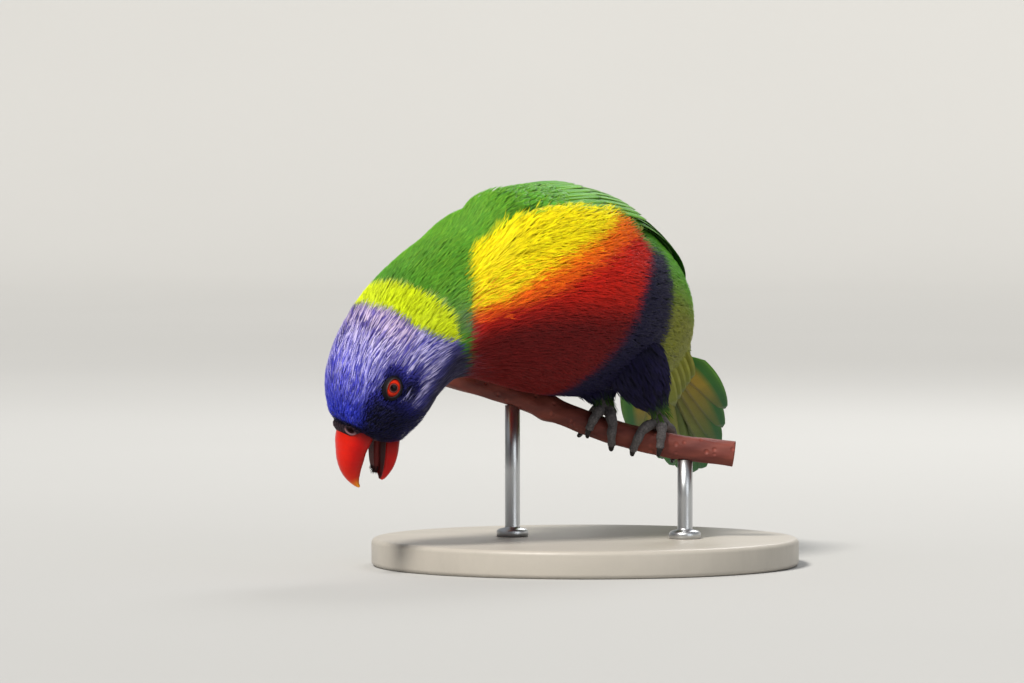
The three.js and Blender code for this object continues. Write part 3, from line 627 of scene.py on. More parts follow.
class Coat(Shape):
    """A piece of plumage, with what all its feathers share.

    keep says which roots are its own, name keeps the left or the right side, fade is the rows in
    which it thins out, raised is how far it stands off the body, and turn how far its feathers
    lean towards the belly, in degrees.
    """

    def __init__(self, seed, keep=None, name=None, fade=None, raised=0.0, turn=0.0, form=BODY):
        super().__init__()
        self.rng = np.random.default_rng(SEED + seed)
        self.side = LEGS[name]["side"] if name else 0
        self.keep, self.fade, self.raised, self.turn, self.form = keep, fade, raised, turn, form

    def roots(self, span, pitch, keep=None):
        """Rows and angles of the coat's own roots within a span of rows."""
        keep = keep or self.keep
        rows, angles = scatter(self.form, *span, pitch, self.rng)
        kept = keep(rows, angles) if keep else np.ones(len(rows), bool)
        if self.side:
            kept &= np.sign(angles) == self.side
        if self.fade:
            kept &= rows < self.rng.uniform(*self.fade, len(rows))
        return rows[kept], angles[kept]

    def plumage(self, rows, angles, length, root=0.6, tip=1.1, mottle=0.05):
        """Root, vane and tip colours from the markings, taken at the middle of each feather."""
        place = rows + 0.55 * length / BODY.scale(rows, angles)[0]
        around = angles + self.rng.normal(0, 1.5, len(rows))
        colour = markings(place, around) * (1 + self.rng.normal(0, mottle, (len(rows), 1)))
        return [colour * root, colour, markings(place + 0.06, around) * tip, colour, 0.0]

    def lay(self, template, rows, angles, length, width, lifts, colours, thick=0.08, turn=0.0,
            camber=0.0, shade=0.1):
        """Lays one feather at each root along the form.

        lifts are how far root and tip stand off. colours are those of the root, the vane, the tip
        and the shaft's streak, and the streak's strength.
        """
        form, count = self.form, len(rows)
        length, width = (np.broadcast_to(size, count)[:, None] for size in (length, width))
        by_row, by_degree = form.scale(rows, angles)
        phi = (np.radians(np.broadcast_to(turn, count)) * np.sign(angles))[:, None]
        along, across = template["u"] * length, template["x"] * width
        ahead = along * np.cos(phi) - across * np.sin(phi)
        aside = across * np.cos(phi) + along * np.sin(phi)
        row = np.clip(rows[:, None] + ahead / by_row[:, None], 0.02, len(form.rows) - 1.02)
        angle = angles[:, None] + aside / by_degree[:, None]
        low, high = (np.broadcast_to(lift, count)[:, None] for lift in lifts)
        lift = low + (high - low) * np.clip(template["u"], 0, 1) ** 0.75 + template["z"] * thick
        lift = lift - camber * width * template["x"] ** 2 + value(self.raised, row, angle)
        colour = tinted(template, colours, self.rng, shade)
        add_feathers(self, template, form.point(row, angle, lift), colour, rows, angles, along, across)

    def vanes(self, span, pitch, length, half, mottle=0.05, root=0.7):
        """Soft flat feathers that close the coat under its free barbs."""
        rows, angles = self.roots(span, pitch)
        colours = self.plumage(rows, angles, length, root, 1.0, mottle)
        way = self.rng.normal(0, 7, len(rows)) + value(self.turn, rows, angles)
        long = length * self.rng.uniform(0.85, 1.15, len(rows))
        self.lay(smooth_vane(4, 3, 2.6), rows, angles, long, half, (-1.8, -0.5), colours, 0.1, way,
                 shade=0.04)

    def plumes(self, template, span, pitch, lengths, low, tips, lean, shade=0.1, **tone):
        """Loose feathers with free barbs. lengths and tips are ranges, and lean is in degrees."""
        rows, angles = self.roots(span, pitch)
        length = self.rng.uniform(*lengths, len(rows))
        colours = self.plumage(rows, angles, length, **tone)
        lifts = (low, self.rng.uniform(*tips, len(rows)))
        way = value(self.turn, rows, angles) + self.rng.normal(0, lean, len(rows))
        self.lay(template, rows, angles, length, length, lifts, colours, turn=way, shade=shade)

    def strands(self, span, pitch, long, half, high, lean=8.0, tint=None, mottle=0.16, keep=None):
        """Single thin barbs lying over the coat, each in the colour of the place that it covers.

        long is their greatest length, half and high the ranges of their half widths and of the
        tips' lift. tint may change their colours, given random numbers, rows, angles and colours.
        """
        rows, angles = self.roots(span, pitch, keep)
        length = value(long, rows, angles) * self.rng.uniform(0.6, 1.15, len(rows))
        colour = self.plumage(rows, angles, length, mottle=mottle)[1]
        if tint:
            colour = tint(self.rng, rows, angles, colour)
        way = self.rng.normal(0, lean, len(rows)) + value(self.turn, rows, angles)
        width = self.rng.uniform(*half, len(rows))
        self.lay(STRAND, rows, angles, length, width, (-0.6, self.rng.uniform(*high, len(rows))),
                 [colour * 0.75, colour, colour * 1.08, colour, 0], 0.07, way, shade=0.0)


EYES = {name: np.mean([list(corner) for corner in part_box(f"{name}_eye")], axis=0) / MM for name in LEGS}
EYE_RADIUS = (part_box("left_eye")[1].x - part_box("left_eye")[0].x) / 2 / MM
# Half the opening of the lids, and of the bare ring round it: along the head, to the crown and to the throat
OPENING = (2.65, 1.7, 1.95)
BARE = (3.6, 2.6, 2.9)


def eye_frame(name):
    """The way an eye looks, straight out of the head, then towards the bill and towards the crown."""
    row, angle = EYE_PLACE
    angle = angle * LEGS[name]["side"]
    axis = unit(BODY.point(row, angle, 1.0) - BODY.point(row, angle, 0.0))
    ahead = unit(FACE_FORWARD - (FACE_FORWARD @ axis) * axis)
    crown = np.cross(axis, ahead)
    return axis, ahead, crown * np.sign(crown @ FACE_BACK)


def eye_share(points, name):
    """How far points lie from an eye's middle, where 1 is the edge of its bare ring."""
    axis, ahead, crown = eye_frame(name)
    away = points - EYES[name]
    up = away @ crown
    share = np.hypot(away @ ahead / BARE[0], up / np.where(up > 0, BARE[1], BARE[2]))
    return np.where(away @ axis > 0, share, 9)


def clear_of_eyes(points, grow=1.0):
    return np.minimum(eye_share(points, "left"), eye_share(points, "right")) > grow


def clear_of_mouth(points):
    """True for points outside the open mouth and the bill's roots."""
    ahead, up, left = face_place(points)
    in_upper = (left / 6.8) ** 2 + ((up - 1.8) / 5.6) ** 2 < 1
    in_lower = (left / 5.4) ** 2 + ((up + 8.2) / 3.6) ** 2 < 1
    gape = (np.abs(left) < 4.6) & (up < -2.0) & (up > -7)
    return ~((in_upper | in_lower | gape) & (ahead > -4.0))


def tips_of(rows, angles, length):
    """Where feathers of a length end on the body."""
    return BODY.point(rows + length / BODY.scale(rows, angles)[0], angles)


def head_length(rows, angles):
    """The streaks' greatest length, short enough to end at the collar."""
    side = folded(angles)
    room = np.where(side < 112, line(COLLAR_START, side) + 0.1, 9) - rows
    free = 1.0 + 1.8 * np.clip(rows - 1, 0, 3)
    return np.minimum(free, np.maximum(room, 0.1) * BODY.scale(rows, angles)[0])


def head_sway(rows, angles):
    return 9 + 9 * smooth(folded(angles), 50, 95) + 7 * np.sin(2.1 * rows + 0.11 * angles)


def on_head(rows, angles):
    """The head, without its dark face, its bare skin and its mouth."""
    side = folded(angles)
    points = BODY.point(rows, angles)
    inside = (rows < line(COLLAR_START, side) - 0.1) | ((side > 108) & (rows < 5.15))
    return inside & (face_mask(rows, side) < 0.55) & clear_of_eyes(points) & clear_of_mouth(points)


def streaks_on_head(rows, angles):
    return on_head(rows, angles) & clear_of_eyes(tips_of(rows, angles, head_length(rows, angles)))


def streaked(rng, rows, angles, colour):
    """Pale streaks in clumps over the blue of the head, fewest on the face and the throat."""
    side = folded(angles)
    pale = 0.08 + 0.2 * smooth(rows, 1.6, 3.0) + 0.3 * smooth(rows, 2.8, 4.2) * (1 - smooth(side, 80, 104))
    pale = pale + 0.4 * spot(rows, side, (3.9, 106), (0.5, 13))
    pale = pale * (1 - 0.9 * smooth(side, 112, 122)) * (1 - 0.9 * face_mask(rows, side))
    clump = 0.5 + 0.5 * np.sin(0.8 * side + 5 * np.sin(1.9 * rows)) * np.sin(6.5 * rows + 0.5 * side)
    pale = np.clip(pale * (0.35 + 1.3 * clump) * rng.uniform(0, 1, len(rows)) ** 2 * 3.6, 0, 0.95)
    light = mix(STREAK, PALE_STREAK, smooth(rows, 1.8, 3.6))
    light = mix(light, NAPE_STREAK, smooth(rows, 3.6, 4.3) * (1 - smooth(side, 70, 90)) * 0.7)
    dark = colour * rng.uniform(0.5, 1.2, (len(rows), 1))
    return mix(dark, light, pale * (colour[:, 1] < colour[:, 2]))


def head_coat(name, looks):
    """Slim feathers under long pale streaks over the crown, cheeks and nape."""
    coat = Coat(0, on_head, name, turn=head_sway)
    rng = coat.rng
    rows, angles = coat.roots((0.72, 5.2), lambda row: 0.6 + 0.09 * row)
    length = (1.3 + 0.85 * np.clip(rows - 1, 0, 3)) * rng.uniform(0.8, 1.2, len(rows))
    lifts = (-1.1, rng.uniform(-0.35, -0.1, len(rows)))
    colours = coat.plumage(rows, angles, length, root=0.5, mottle=0.12)
    coat.lay(smooth_vane(3, 3, 2.2), rows, angles, length, 0.34 + 0.06 * rows, lifts, colours,
             turn=head_sway(rows, angles))
    coat.strands((0.76, 5.1), lambda row: 0.38 + 0.05 * row, head_length, (0.09, 0.24), (-0.15, 0.2),
                 lean=5, tint=streaked, mottle=0.1, keep=streaks_on_head)
    coat.piece(f"{name}_head_feathers", looks["coat"], "head_plumage")


def on_face(rows, angles):
    points = BODY.point(rows, angles)
    dark = (face_mask(rows, folded(angles)) >= 0.4) & (rows < 4.4)
    return dark & clear_of_eyes(points, 0.96) & clear_of_mouth(points)


def face_coat(looks):
    """Tiny dark feathers on the lores, the chin and round the eyes."""
    coat = Coat(1, on_face)
    rng = coat.rng
    rows, angles = coat.roots((0.5, 4.4), 0.5)
    length = rng.uniform(0.9, 1.5, len(rows))
    kept = clear_of_eyes(tips_of(rows, angles, length), 0.9)
    rows, angles, length = rows[kept], angles[kept], length[kept]
    strength = rng.uniform(0, 0.16, len(rows))
    colours = coat.plumage(rows, angles, length, mottle=0.2)
    colours[3:] = FOREHEAD, strength
    lifts = (-1.1, rng.uniform(-0.3, 0.05, len(rows)))
    coat.lay(smooth_vane(3, 3, 2.2), rows, angles, length, 0.2, lifts, colours,
             turn=rng.normal(8, 9, len(rows)))
    coat.piece("face_feathers", looks["coat"], "head_plumage")


def on_neck(rows, angles):
    side = folded(angles)
    inside = (rows > line(COLLAR_START, side) - 0.22) & (side < 122)
    return inside & ((rows < line(YELLOW_START, side) - 0.1) | (side < line(YELLOW_BACK, rows)))


def over_wing(rows, angles):
    return on_neck(rows, angles) & (folded(angles) < 66)


def fresh_neck(rng, rows, angles, colour):
    edge = mix(colour, GREEN_EDGE, rng.uniform(0, 0.45, len(rows)) * smooth(rows, 4.9, 5.3))
    return edge * rng.uniform(0.85, 1.12, (len(rows), 1))


def mantle_lift(row, angle):
    """How far the mantle rises over the wing's arm and the flank, until it sinks under the back."""
    raised = wing_lift(row, angle) * (1 - smooth(folded(angle), 56, 66)) + flank_lift(row, angle) * 0.5
    return raised - 1.0 * smooth(row, 6.3, 7.1)


def neck_coat(name, looks):
    """The yellow-green collar, and the green neck and mantle, over the root of the wing."""
    span = (4.1, 6.9)
    coat = Coat(2, on_neck, name, fade=(6.4, 6.95), raised=mantle_lift)
    coat.vanes(span, 1.2, 3.8, 0.75)
    for k in range(2):
        coat.plumes(plume(8, k, 0.5, 0.024, 0.05), span, 2.4, (3.2, 4.6), -1.0, (-0.35, 0.05), 9,
                    root=0.88, mottle=0.06)
    coat.strands(span, 0.56, 3.4, (0.07, 0.13), (-0.15, 0.15), lean=9, tint=fresh_neck, mottle=0.08)
    coat.strands((5.9, 6.95), 0.5, 3.2, (0.1, 0.16), (-0.4, -0.05), lean=7, tint=fresh_neck, mottle=0.06,
                 keep=over_wing)
    coat.piece(f"{name}_neck_feathers", looks["soft"], "neck_plumage")


def flank_lift(row, angle):
    """How far the flank feathers rise over the folded wing's lower edge."""
    along = smooth(row, 5.9, 6.7) * (1 - smooth(row, 8.5, 9.3))
    return 4.6 * (1 - smooth(folded(angle), 64, 94)) * along


def breast_lean(rows, angles):
    return -12 * (1 - smooth(folded(angles), 60, 95)) + 5 * np.sin(2.3 * rows + 0.13 * angles)


def on_breast(rows, angles):
    side = folded(angles)
    warm = (rows > line(YELLOW_START, side) - 0.16) & (side > line(YELLOW_BACK, rows))
    throat = (side >= 122) & (rows > 5.05)
    return (warm | throat) & (rows < line(NAVY_START, side))


def orange_tipped(rng, rows, angles, colour):
    warm = mix(ORANGE, RED, rng.uniform(0, 1, len(rows)))
    share = smooth(folded(angles), 80, 98) * rng.uniform(-1.2, 0.8, len(rows)).clip(0)
    return mix(colour, warm, share * (colour[:, 1] > 0.1)) * rng.uniform(0.85, 1.12, (len(rows), 1))


def breast_coat(name, looks):
    """The silky yellow, orange and red breast and flank."""
    span = (5.0, 9.2)
    coat = Coat(3, on_breast, name, raised=flank_lift, turn=breast_lean)
    coat.vanes(span, 1.75, 5.2, 1.15, mottle=0.03, root=0.85)
    for k in range(2):
        coat.plumes(plume(12, k, 0.55, 0.017, 0.04), span, 3.3, (5.4, 7.6), -1.3, (-0.3, 0.15), 10,
                    shade=0.08, root=0.85, tip=1.04)
    coat.strands(span, 0.64, 6.4, (0.07, 0.13), (-0.2, 0.3), lean=9, tint=orange_tipped, mottle=0.06)
    coat.piece(f"{name}_breast_feathers", looks["soft"], "breast_plumage")


def on_belly(rows, angles):
    side = folded(angles)
    return (rows > line(NAVY_START, side) - 0.1) & (side > 58)


def belly_coat(looks):
    """The navy belly, the vent and the coverts under the tail."""
    coat = Coat(5, on_belly)
    rng = coat.rng
    coat.vanes((7.6, 12.2), 2.6, 6.0, 1.7)
    rows, angles = coat.roots((7.6, 11.9), 3.2)
    length = rng.uniform(6.5, 9.0, len(rows)) * (1 - 0.25 * smooth(rows, 11, 12))
    lifts = (-1.6, rng.uniform(-0.3, 0.15, len(rows)))
    colours = coat.plumage(rows, angles, length, root=0.9, mottle=0.06)
    coat.lay(plume(11, 11, 0.5, 0.016, 0.06), rows, angles, length, length, lifts, colours,
             turn=rng.normal(0, 9, len(rows)))
    coat.strands((7.6, 11.9), 1.1, 6.0, (0.1, 0.17), (-0.2, 0.2), lean=11, mottle=0.08)
    coat.piece("belly_feathers", looks["soft"], "breast_plumage")


def on_back(rows, angles):
    return folded(angles) < 26 + 44 * smooth(rows, 9.6, 10.6)


def back_coat(looks):
    """Rounded green feathers over the back and rump, between the wings."""
    coat = Coat(6, on_back)
    rng = coat.rng
    rows, angles = coat.roots((6.3, 12.4), 2.4)
    length = rng.uniform(6.5, 8.5, len(rows)) * (1 - 0.25 * smooth(rows, 11, 12.3))
    colours = coat.plumage(rows, angles, length, root=0.8, tip=1.05, mottle=0.06)
    colours[2] = mix(colours[2], GREEN_EDGE, rng.uniform(0.0, 0.25, len(rows)))
    colours[3:] = NECK_GREEN * 0.7, 0.25
    lifts = (-1.5, rng.uniform(-0.3, 0.0, len(rows)))
    coat.lay(smooth_vane(6, 5, 3.2), rows, angles, length, 2.1, lifts, colours, thick=0.14,
             turn=rng.normal(0, 6, len(rows)), camber=0.08)
    coat.strands((6.3, 12.2), 1.1, 4.4, (0.08, 0.14), (0.0, 0.4))
    coat.piece("back_feathers", looks["coat"], "wing_feathers")


# Wings and tail

# The smooth arm of a folded wing: its rows, its middle angle, half its spread, its height and base
ARM = {"rows": (6.35, 11.2), "middle": 40, "half": 29, "high": (1.0, 4.4), "base": 0.9}

# Colours of stiff feathers: the inner vane, the outer vane, its edge and the tip
COVERT_TINTS = (srgb(62, 128, 26), srgb(74, 144, 26), srgb(126, 180, 38), srgb(96, 160, 32))
TAIL_COVERT_TINTS = (srgb(66, 134, 28), srgb(78, 150, 28), srgb(120, 178, 40), srgb(96, 160, 34))
UNDER_TAIL_TINTS = (srgb(120, 124, 32), srgb(132, 134, 36), srgb(152, 152, 46), srgb(122, 130, 36))
TAIL_TINTS = (srgb(50, 118, 28), srgb(100, 158, 38), srgb(40, 98, 54))
TAIL_INNER, TAIL_OUTER = srgb(66, 108, 28), srgb(176, 146, 30)

# Tiers of a folded wing: rows and angles of the roots and tips from the first feather to the
# last, the lifts at root and tip, half the widths, how round the ends are, and the steps along.
TIERS = {
    "primaries": {
        "count": 10, "root": (8.4, 8.4), "tip": (12.95, 11.6), "from": (66, 44), "to": (42, 25),
        "lift": (1.9, 4.4), "wide": (3.9, 4.6), "point": 5.0, "steps": 18,
        "tints": (srgb(20, 24, 26), srgb(40, 92, 36), srgb(84, 142, 40), srgb(24, 34, 32))},
    "secondaries": {
        "count": 11, "root": (7.9, 7.9), "tip": (10.9, 10.3), "from": (63, 18), "to": (69, 20),
        "lift": (2.8, 3.8), "wide": (4.0, 4.8), "point": 5.0, "steps": 18,
        "tints": (srgb(34, 70, 28), srgb(58, 126, 28), srgb(104, 166, 36), srgb(52, 112, 30))},
    "greater_coverts": {
        "count": 12, "root": (7.5, 7.5), "tip": (9.1, 8.9), "from": (62, 17), "to": (68, 18),
        "lift": (4.0, 4.9), "wide": (3.2, 4.0), "point": 3.6, "steps": 11, "tints": COVERT_TINTS},
    "median_coverts": {
        "count": 15, "root": (7.2, 7.2), "tip": (8.25, 8.1), "from": (61, 15), "to": (66, 16),
        "lift": (4.5, 5.4), "wide": (2.4, 3.0), "point": 3.0, "steps": 11, "tints": COVERT_TINTS},
}
TILT = 10  # degrees that each feather leans over the next
EDGE_SINK, BACK_SINK = 2.2, 2.4  # how much closer to the body the wing lies along its lower and upper edges


def run(ends, share):
    """From the first of two numbers to the second."""
    return ends[0] + (ends[1] - ends[0]) * share


def tilted(way, axis, degrees):
    """A way square to an axis, turned about it."""
    lean = math.radians(degrees)
    return way * math.cos(lean) + np.cross(axis, way) * math.sin(lean)


def arm_half(u):
    return ARM["half"] * np.minimum(1, 0.5 + 2.6 * u) * (1 - 0.45 * u * u)


def arm_place(row, angle):
    """Shares along and across the wing's smooth arm."""
    first, last = ARM["rows"]
    u = np.clip((row - first) / (last - first), 0, 1)
    return u, ((folded(angle) - ARM["middle"]) / arm_half(u) + 1) / 2


def wing_lift(row, angle):
    """How far the wing's arm stands off the body, falling away all round it."""
    u, v = arm_place(row, angle)
    swell = np.minimum(1, 0.3 + 4 * u) * (0.5 + 0.5 * np.cos(np.pi * np.minimum(1, 1.5 * u)))
    rim = smooth(v, -0.12, 0.1) * (1 - smooth(v, 0.9, 1.12))
    dome = np.sqrt(np.clip(np.sin(np.pi * np.clip(v, 0, 1)), 0, 1))
    return (ARM["base"] + run(ARM["high"], swell) * dome) * rim * smooth(row, 6.1, 6.75)


def wing_arm(name, looks):
    """The smooth arm of a folded wing, which its feathers grow from."""
    side = LEGS[name]["side"]
    u, v = np.linspace(0, 1, 41)[:, None], np.linspace(0, 1, 25)[None]
    angle = side * (ARM["middle"] + arm_half(u) * (2 * v - 1))
    rows = np.broadcast_to(run(ARM["rows"], u), angle.shape)
    top = BODY.point(rows, angle, wing_lift(rows, angle) - 0.5)
    under = BODY.point(rows, angle, -1.2)[:, ::-1]
    # Painted shade: the arm is a darker copy of the neck's green, as if in shade under its feathers.
    swept(np.concatenate([top, under], axis=1), NECK_GREEN * 0.6, f"{name}_wing_arm", looks["skin"],
          "wing_feathers")


def stiff_feathers(coat, template, shafts, wide, thick, droop, tints, roots):
    """Stiff feathers on their shafts, given as places and the ways across and out of the vanes."""
    at, across, out = shafts
    inner, outer, edge, end = tints
    u, v = template["u"], template["v"]
    x = template["x"] * wide[:, None]
    shaft = bell(v, 0.12) * (template["z"] >= 0) * 0.25 * (1 - u)
    high = template["z"] * thick - droop * wide[:, None] * v**2 + shaft
    points = at + across * x[..., None] + out * high[..., None]
    lower = smooth(v * np.sign(roots[:, 1:2]), -0.1, 0.1)
    colour = layered(inner, (outer, lower), (edge, smooth(np.abs(v), 0.6, 1.0) * lower),
                     (end, smooth(u, 0.55, 1.0) * 0.8))
    colour = colour * (1 + coat.rng.normal(0, 0.07, (len(at), 1, 1)))
    length = np.linalg.norm(at[:, -1] - at[:, 0], axis=1)
    add_feathers(coat, template, points, colour, *roots.T, u * length[:, None], x)


def tier(coat, form):
    """One tier of a folded wing, run over the body from root places to tip places."""
    s = np.linspace(0, 1, form["count"])
    sink = EDGE_SINK * (1 - s) + BACK_SINK * s**4
    root, tip = (
        np.stack([run(form[row], s) + coat.rng.normal(0, 0.03, len(s)),
                  coat.side * (run(form[angle], s) + coat.rng.normal(0, 0.6, len(s))),
                  lift - sink], 1)
        for row, angle, lift in (("root", "from", form["lift"][0]), ("tip", "to", form["lift"][1])))
    template = smooth_vane(form["steps"], 9, form["point"], 0.55)
    u = template["u"][:, None]
    row, angle, lift = np.moveaxis(root[:, None] * (1 - u) + tip[:, None] * u, -1, 0)
    at = BODY.point(row, angle, lift)
    along = unit(BODY.point(row + 0.05, angle, lift) - at)
    across = BODY.point(row, angle + 4, lift) - at
    across = unit(across - (across * along).sum(-1, keepdims=True) * along)
    out = np.cross(across, along)
    out = np.where(((BODY.section(row)[0] - at) * out).sum(-1, keepdims=True) > 0, -out, out)
    across, out = (tilted(way, along, -coat.side * TILT) for way in (across, out))
    stiff_feathers(coat, template, (at, across, out), run(form["wide"], s), 0.4, 0.1, form["tints"],
                   root[:, :2])


def on_wing(rows, angles):
    v = arm_place(rows, angles)[1]
    return (v > 0.02) & (v < np.where(rows > 7.2, 0.97, 0.9)) & (folded(angles) > 9)


def fresh_wing(rng, rows, angles, colour):
    green = mix(NECK_GREEN, GREEN_EDGE, rng.uniform(0, 0.6, len(rows)))
    return green * rng.uniform(0.8, 1.15, (len(rows), 1))


def wing(name, looks):
    """A folded wing: its arm, four tiers of stiff feathers, and small coverts over their roots."""
    wing_arm(name, looks)
    coat = Coat(7, on_wing, name, raised=wing_lift)
    rng = coat.rng
    for form in TIERS.values():
        tier(coat, form)
    rows, angles = coat.roots((6.2, 8.0), 1.4)
    length = (3.0 + 1.6 * smooth(rows, 6.9, 7.9)) * rng.uniform(0.85, 1.15, len(rows))
    green = mix(NECK_GREEN, BACK_GREEN, rng.uniform(0, 1, len(rows)))
    green = green * rng.uniform(0.88, 1.12, (len(rows), 1))
    tips = mix(green * 1.1, GREEN_EDGE, rng.uniform(0, 0.45, len(rows)))
    lifts = (-0.9, rng.uniform(-0.15, 0.15, len(rows)))
    coat.lay(smooth_vane(5, 5, 2.8), rows, angles, length, length * 0.28, lifts,
             [green * 0.7, green, tips, green * 0.75, 0.25], thick=0.12, turn=rng.normal(0, 7, len(rows)),
             camber=0.06, shade=0.04)
    coat.strands((6.4, 8.6), 0.95, 3.4, (0.08, 0.13), (0.0, 0.3), lean=9, tint=fresh_wing)
    coat.piece(f"{name}_wing_feathers", looks["coat"], "wing_feathers", [f"{name}_wing"])


def tail_feather(coat, template, sides, rows, heights, wide, tilt, tints):
    """One feather of the tail. sides, rows and heights are those of its root and its tip."""
    u = template["u"]
    centre, forward, back, left, _ = BODY.section(run(rows, u))
    at = centre + left * run(sides, u)[:, None] + back * run(heights, u)[:, None]
    across, out = (tilted(way, forward, tilt) for way in (left, back))
    roots = np.array([[rows[0], 3.0 * (sides[0] or 0.1)]])
    stiff_feathers(coat, template, (at[None], across[None], out[None]), np.array([wide]), 0.45, 0.08,
                   tints, roots)


def tail(looks):
    """Twelve long feathers, the middle pair on top, with coverts over and under their roots."""
    coat = Coat(9)
    long, short = smooth_vane(22, 9, 3.0, 0.5), smooth_vane(10, 7, 3.2, 0.5)
    for i in (5, 4, 3, 2, 1, 0):
        share = i / 5
        tints = (mix(TAIL_INNER, TAIL_OUTER, share), *TAIL_TINTS)
        for side in (1, -1):
            drop = 1.6 - i * 1.05 - (0.5 if side < 0 else 0)
            tail_feather(coat, long, (side * (1 + 1.2 * i), side * (1.4 + 2.5 * i)),
                         (12.2, 15 - 1.55 * share**0.9), (drop, drop), 5.1, side * -5, tints)
    for i in range(-4, 5):
        outer = abs(i) / 4
        tail_feather(coat, short, (1.9 * i, 2.1 * i), (11.75, 12.95 - 0.3 * outer),
                     (8.2 - 2 * outer, 3.6 - outer), 3.2, i * 2.5, TAIL_COVERT_TINTS)
        tail_feather(coat, short, (1.9 * i, 1.9 * i), (11.8, 13.15 - 0.35 * outer),
                     (2 * outer - 7, outer - 5.4), 3.2, i * -2.5, UNDER_TAIL_TINTS)
    coat.piece("tail_feathers", looks["coat"], "tail_feathers", ["tail"])


# Legs

THIGH_END = 5.3  # the last row of the thigh's skin


def thigh_form(name):
    """The thigh as a form of its own, from the hip down past the heel."""
    hip, heel = (np.array(LEGS[name][end], float) for end in ("hip", "heel"))
    along = unit(heel - hip)
    near = np.array([0.0, -1.0, 0.0])
    outward = unit(near - along * (along @ near))
    stops = [[-0.15, 7.6, 7.0], *THIGH, [1.15, 2.9, 2.8], [1.35, 2.8, 2.7]]
    return Form([[*(hip + (heel - hip) * share), *outward, high, high, wide] for share, wide, high in stops])


def thigh_coat(name, looks):
    """Short navy feathers on the thigh, green at the heel."""
    coat = Coat(11, form=thigh_form(name))
    for k in range(2):
        rows, angles = coat.roots((1.2, 5.4), 1.9)
        base = mix(NAVY, HEEL_GREEN, smooth(rows, 3.8, 5.2) * 0.85)
        base = base * coat.rng.uniform(0.7, 1.3, (len(rows), 1))
        length = 5.0 - 1.8 * smooth(rows, 4, 5.4)
        lifts = (-1.2, coat.rng.uniform(-0.1, 0.4, len(rows)))
        coat.lay(plume(9, 21 + k, 0.42, 0.02, 0.12), rows, angles, length, length, lifts,
                 [base * 0.6, base, base * 1.2, base, 0], thick=0.12)
    coat.piece(f"{name}_thigh_feathers", looks["soft"], "thigh_plumage")


def perch_line():
    """Points, evenly spaced, along the branch: a smooth curve through its few points."""
    pts = np.array(PERCH, float)
    pts = np.concatenate([[2 * pts[0] - pts[1]], pts, [2 * pts[-1] - pts[-2]]])
    made = []
    for i in range(1, len(pts) - 2):
        a, b, c, d = pts[i - 1 : i + 3]
        t0, t1, t2 = (np.linalg.norm(q - p) ** 0.5 for p, q in ((a, b), (b, c), (c, d)))
        m1 = ((b - a) / t0 - (c - a) / (t0 + t1) + (c - b) / t1) * t1
        m2 = ((c - b) / t1 - (d - b) / (t1 + t2) + (d - c) / t2) * t1
        t = np.linspace(0, 1, 80, endpoint=False)[:, None]
        made.append(b + m1 * t + (3 * (c - b) - 2 * m1 - m2) * t**2 + (2 * (b - c) + m1 + m2) * t**3)
    made = np.concatenate([*made, pts[-2:-1]])
    length = np.append(0, np.cumsum(np.linalg.norm(np.diff(made, axis=0), axis=1)))
    even = np.linspace(0, length[-1], 401)
    return np.stack([np.interp(even, length, made[:, k]) for k in range(3)], 1)


PERCH_LINE = perch_line()


def perch_radius(share):
    """The branch's radius along it, with one knot."""
    return PERCH_RADIUS * (0.94 + 0.1 * share) + 0.7 * bell(share - 0.36, 0.03)


# Toes: how far along the branch each begins, which way round it goes, how far, and its splay
TOES = [(-3.4, 1, 128, -2.6), (0.6, 1, 100, 1.0), (-1.6, -1, 92, -0.8), (2.8, -1, 124, 2.6)]
TOE_RADIUS = (1.75, 1.15)
CLAW_LENGTH = 5.2
TOE_GAP = 0.25
FOOT_GREY, SOLE_GREY, CLAW_DARK = srgb(92, 88, 88), srgb(112, 98, 92), srgb(46, 42, 42)


class Grip:
    """A place on the branch that a foot holds."""

    def __init__(self, share):
        place = np.array(share * (len(PERCH_LINE) - 1))
        self.at = between(PERCH_LINE, place)
        self.along = unit(between(PERCH_LINE, place + 2) - between(PERCH_LINE, place - 2))
        self.up = unit(np.array([0, 0, 1.0]) - self.along * self.along[2])
        self.near = np.cross(self.along, self.up)
        self.radius = perch_radius(share)

    def out(self, angle):
        """The way out of the branch at angles round it."""
        return self.up * np.cos(angle)[:, None] + self.near * np.sin(angle)[:, None]

    def around(self, angle, beside, off):
        """Places at angles round the branch, beside the grip's middle and off the bark."""
        beside = np.broadcast_to(beside, len(angle))[:, None]
        return self.at + self.along * beside + self.out(angle) * (self.radius + TOE_GAP + off)[:, None]


def shank(skin, grip, leg):
    """The bare leg from inside the thigh down to the branch."""
    heel, hip = np.array(leg["heel"], float), np.array(leg["hip"], float)
    s = np.linspace(0, 1, 26)
    sole = grip.at + grip.up * (grip.radius + 1.9)
    start = heel - unit(heel - hip) * 1.2
    wide = np.interp(s, [0, 0.35, 0.7, 1], [2.3, 2.1, 2.2, 2.5])
    scutes = 1 + 0.05 * ((s * 7) % 1 - 0.5)
    path = start * (1 - s[:, None]) + sole * s[:, None]
    add_sweep(skin, tube_rings(path, wide * scutes, 20, hint=(0.3, 1, 0)), FOOT_GREY)


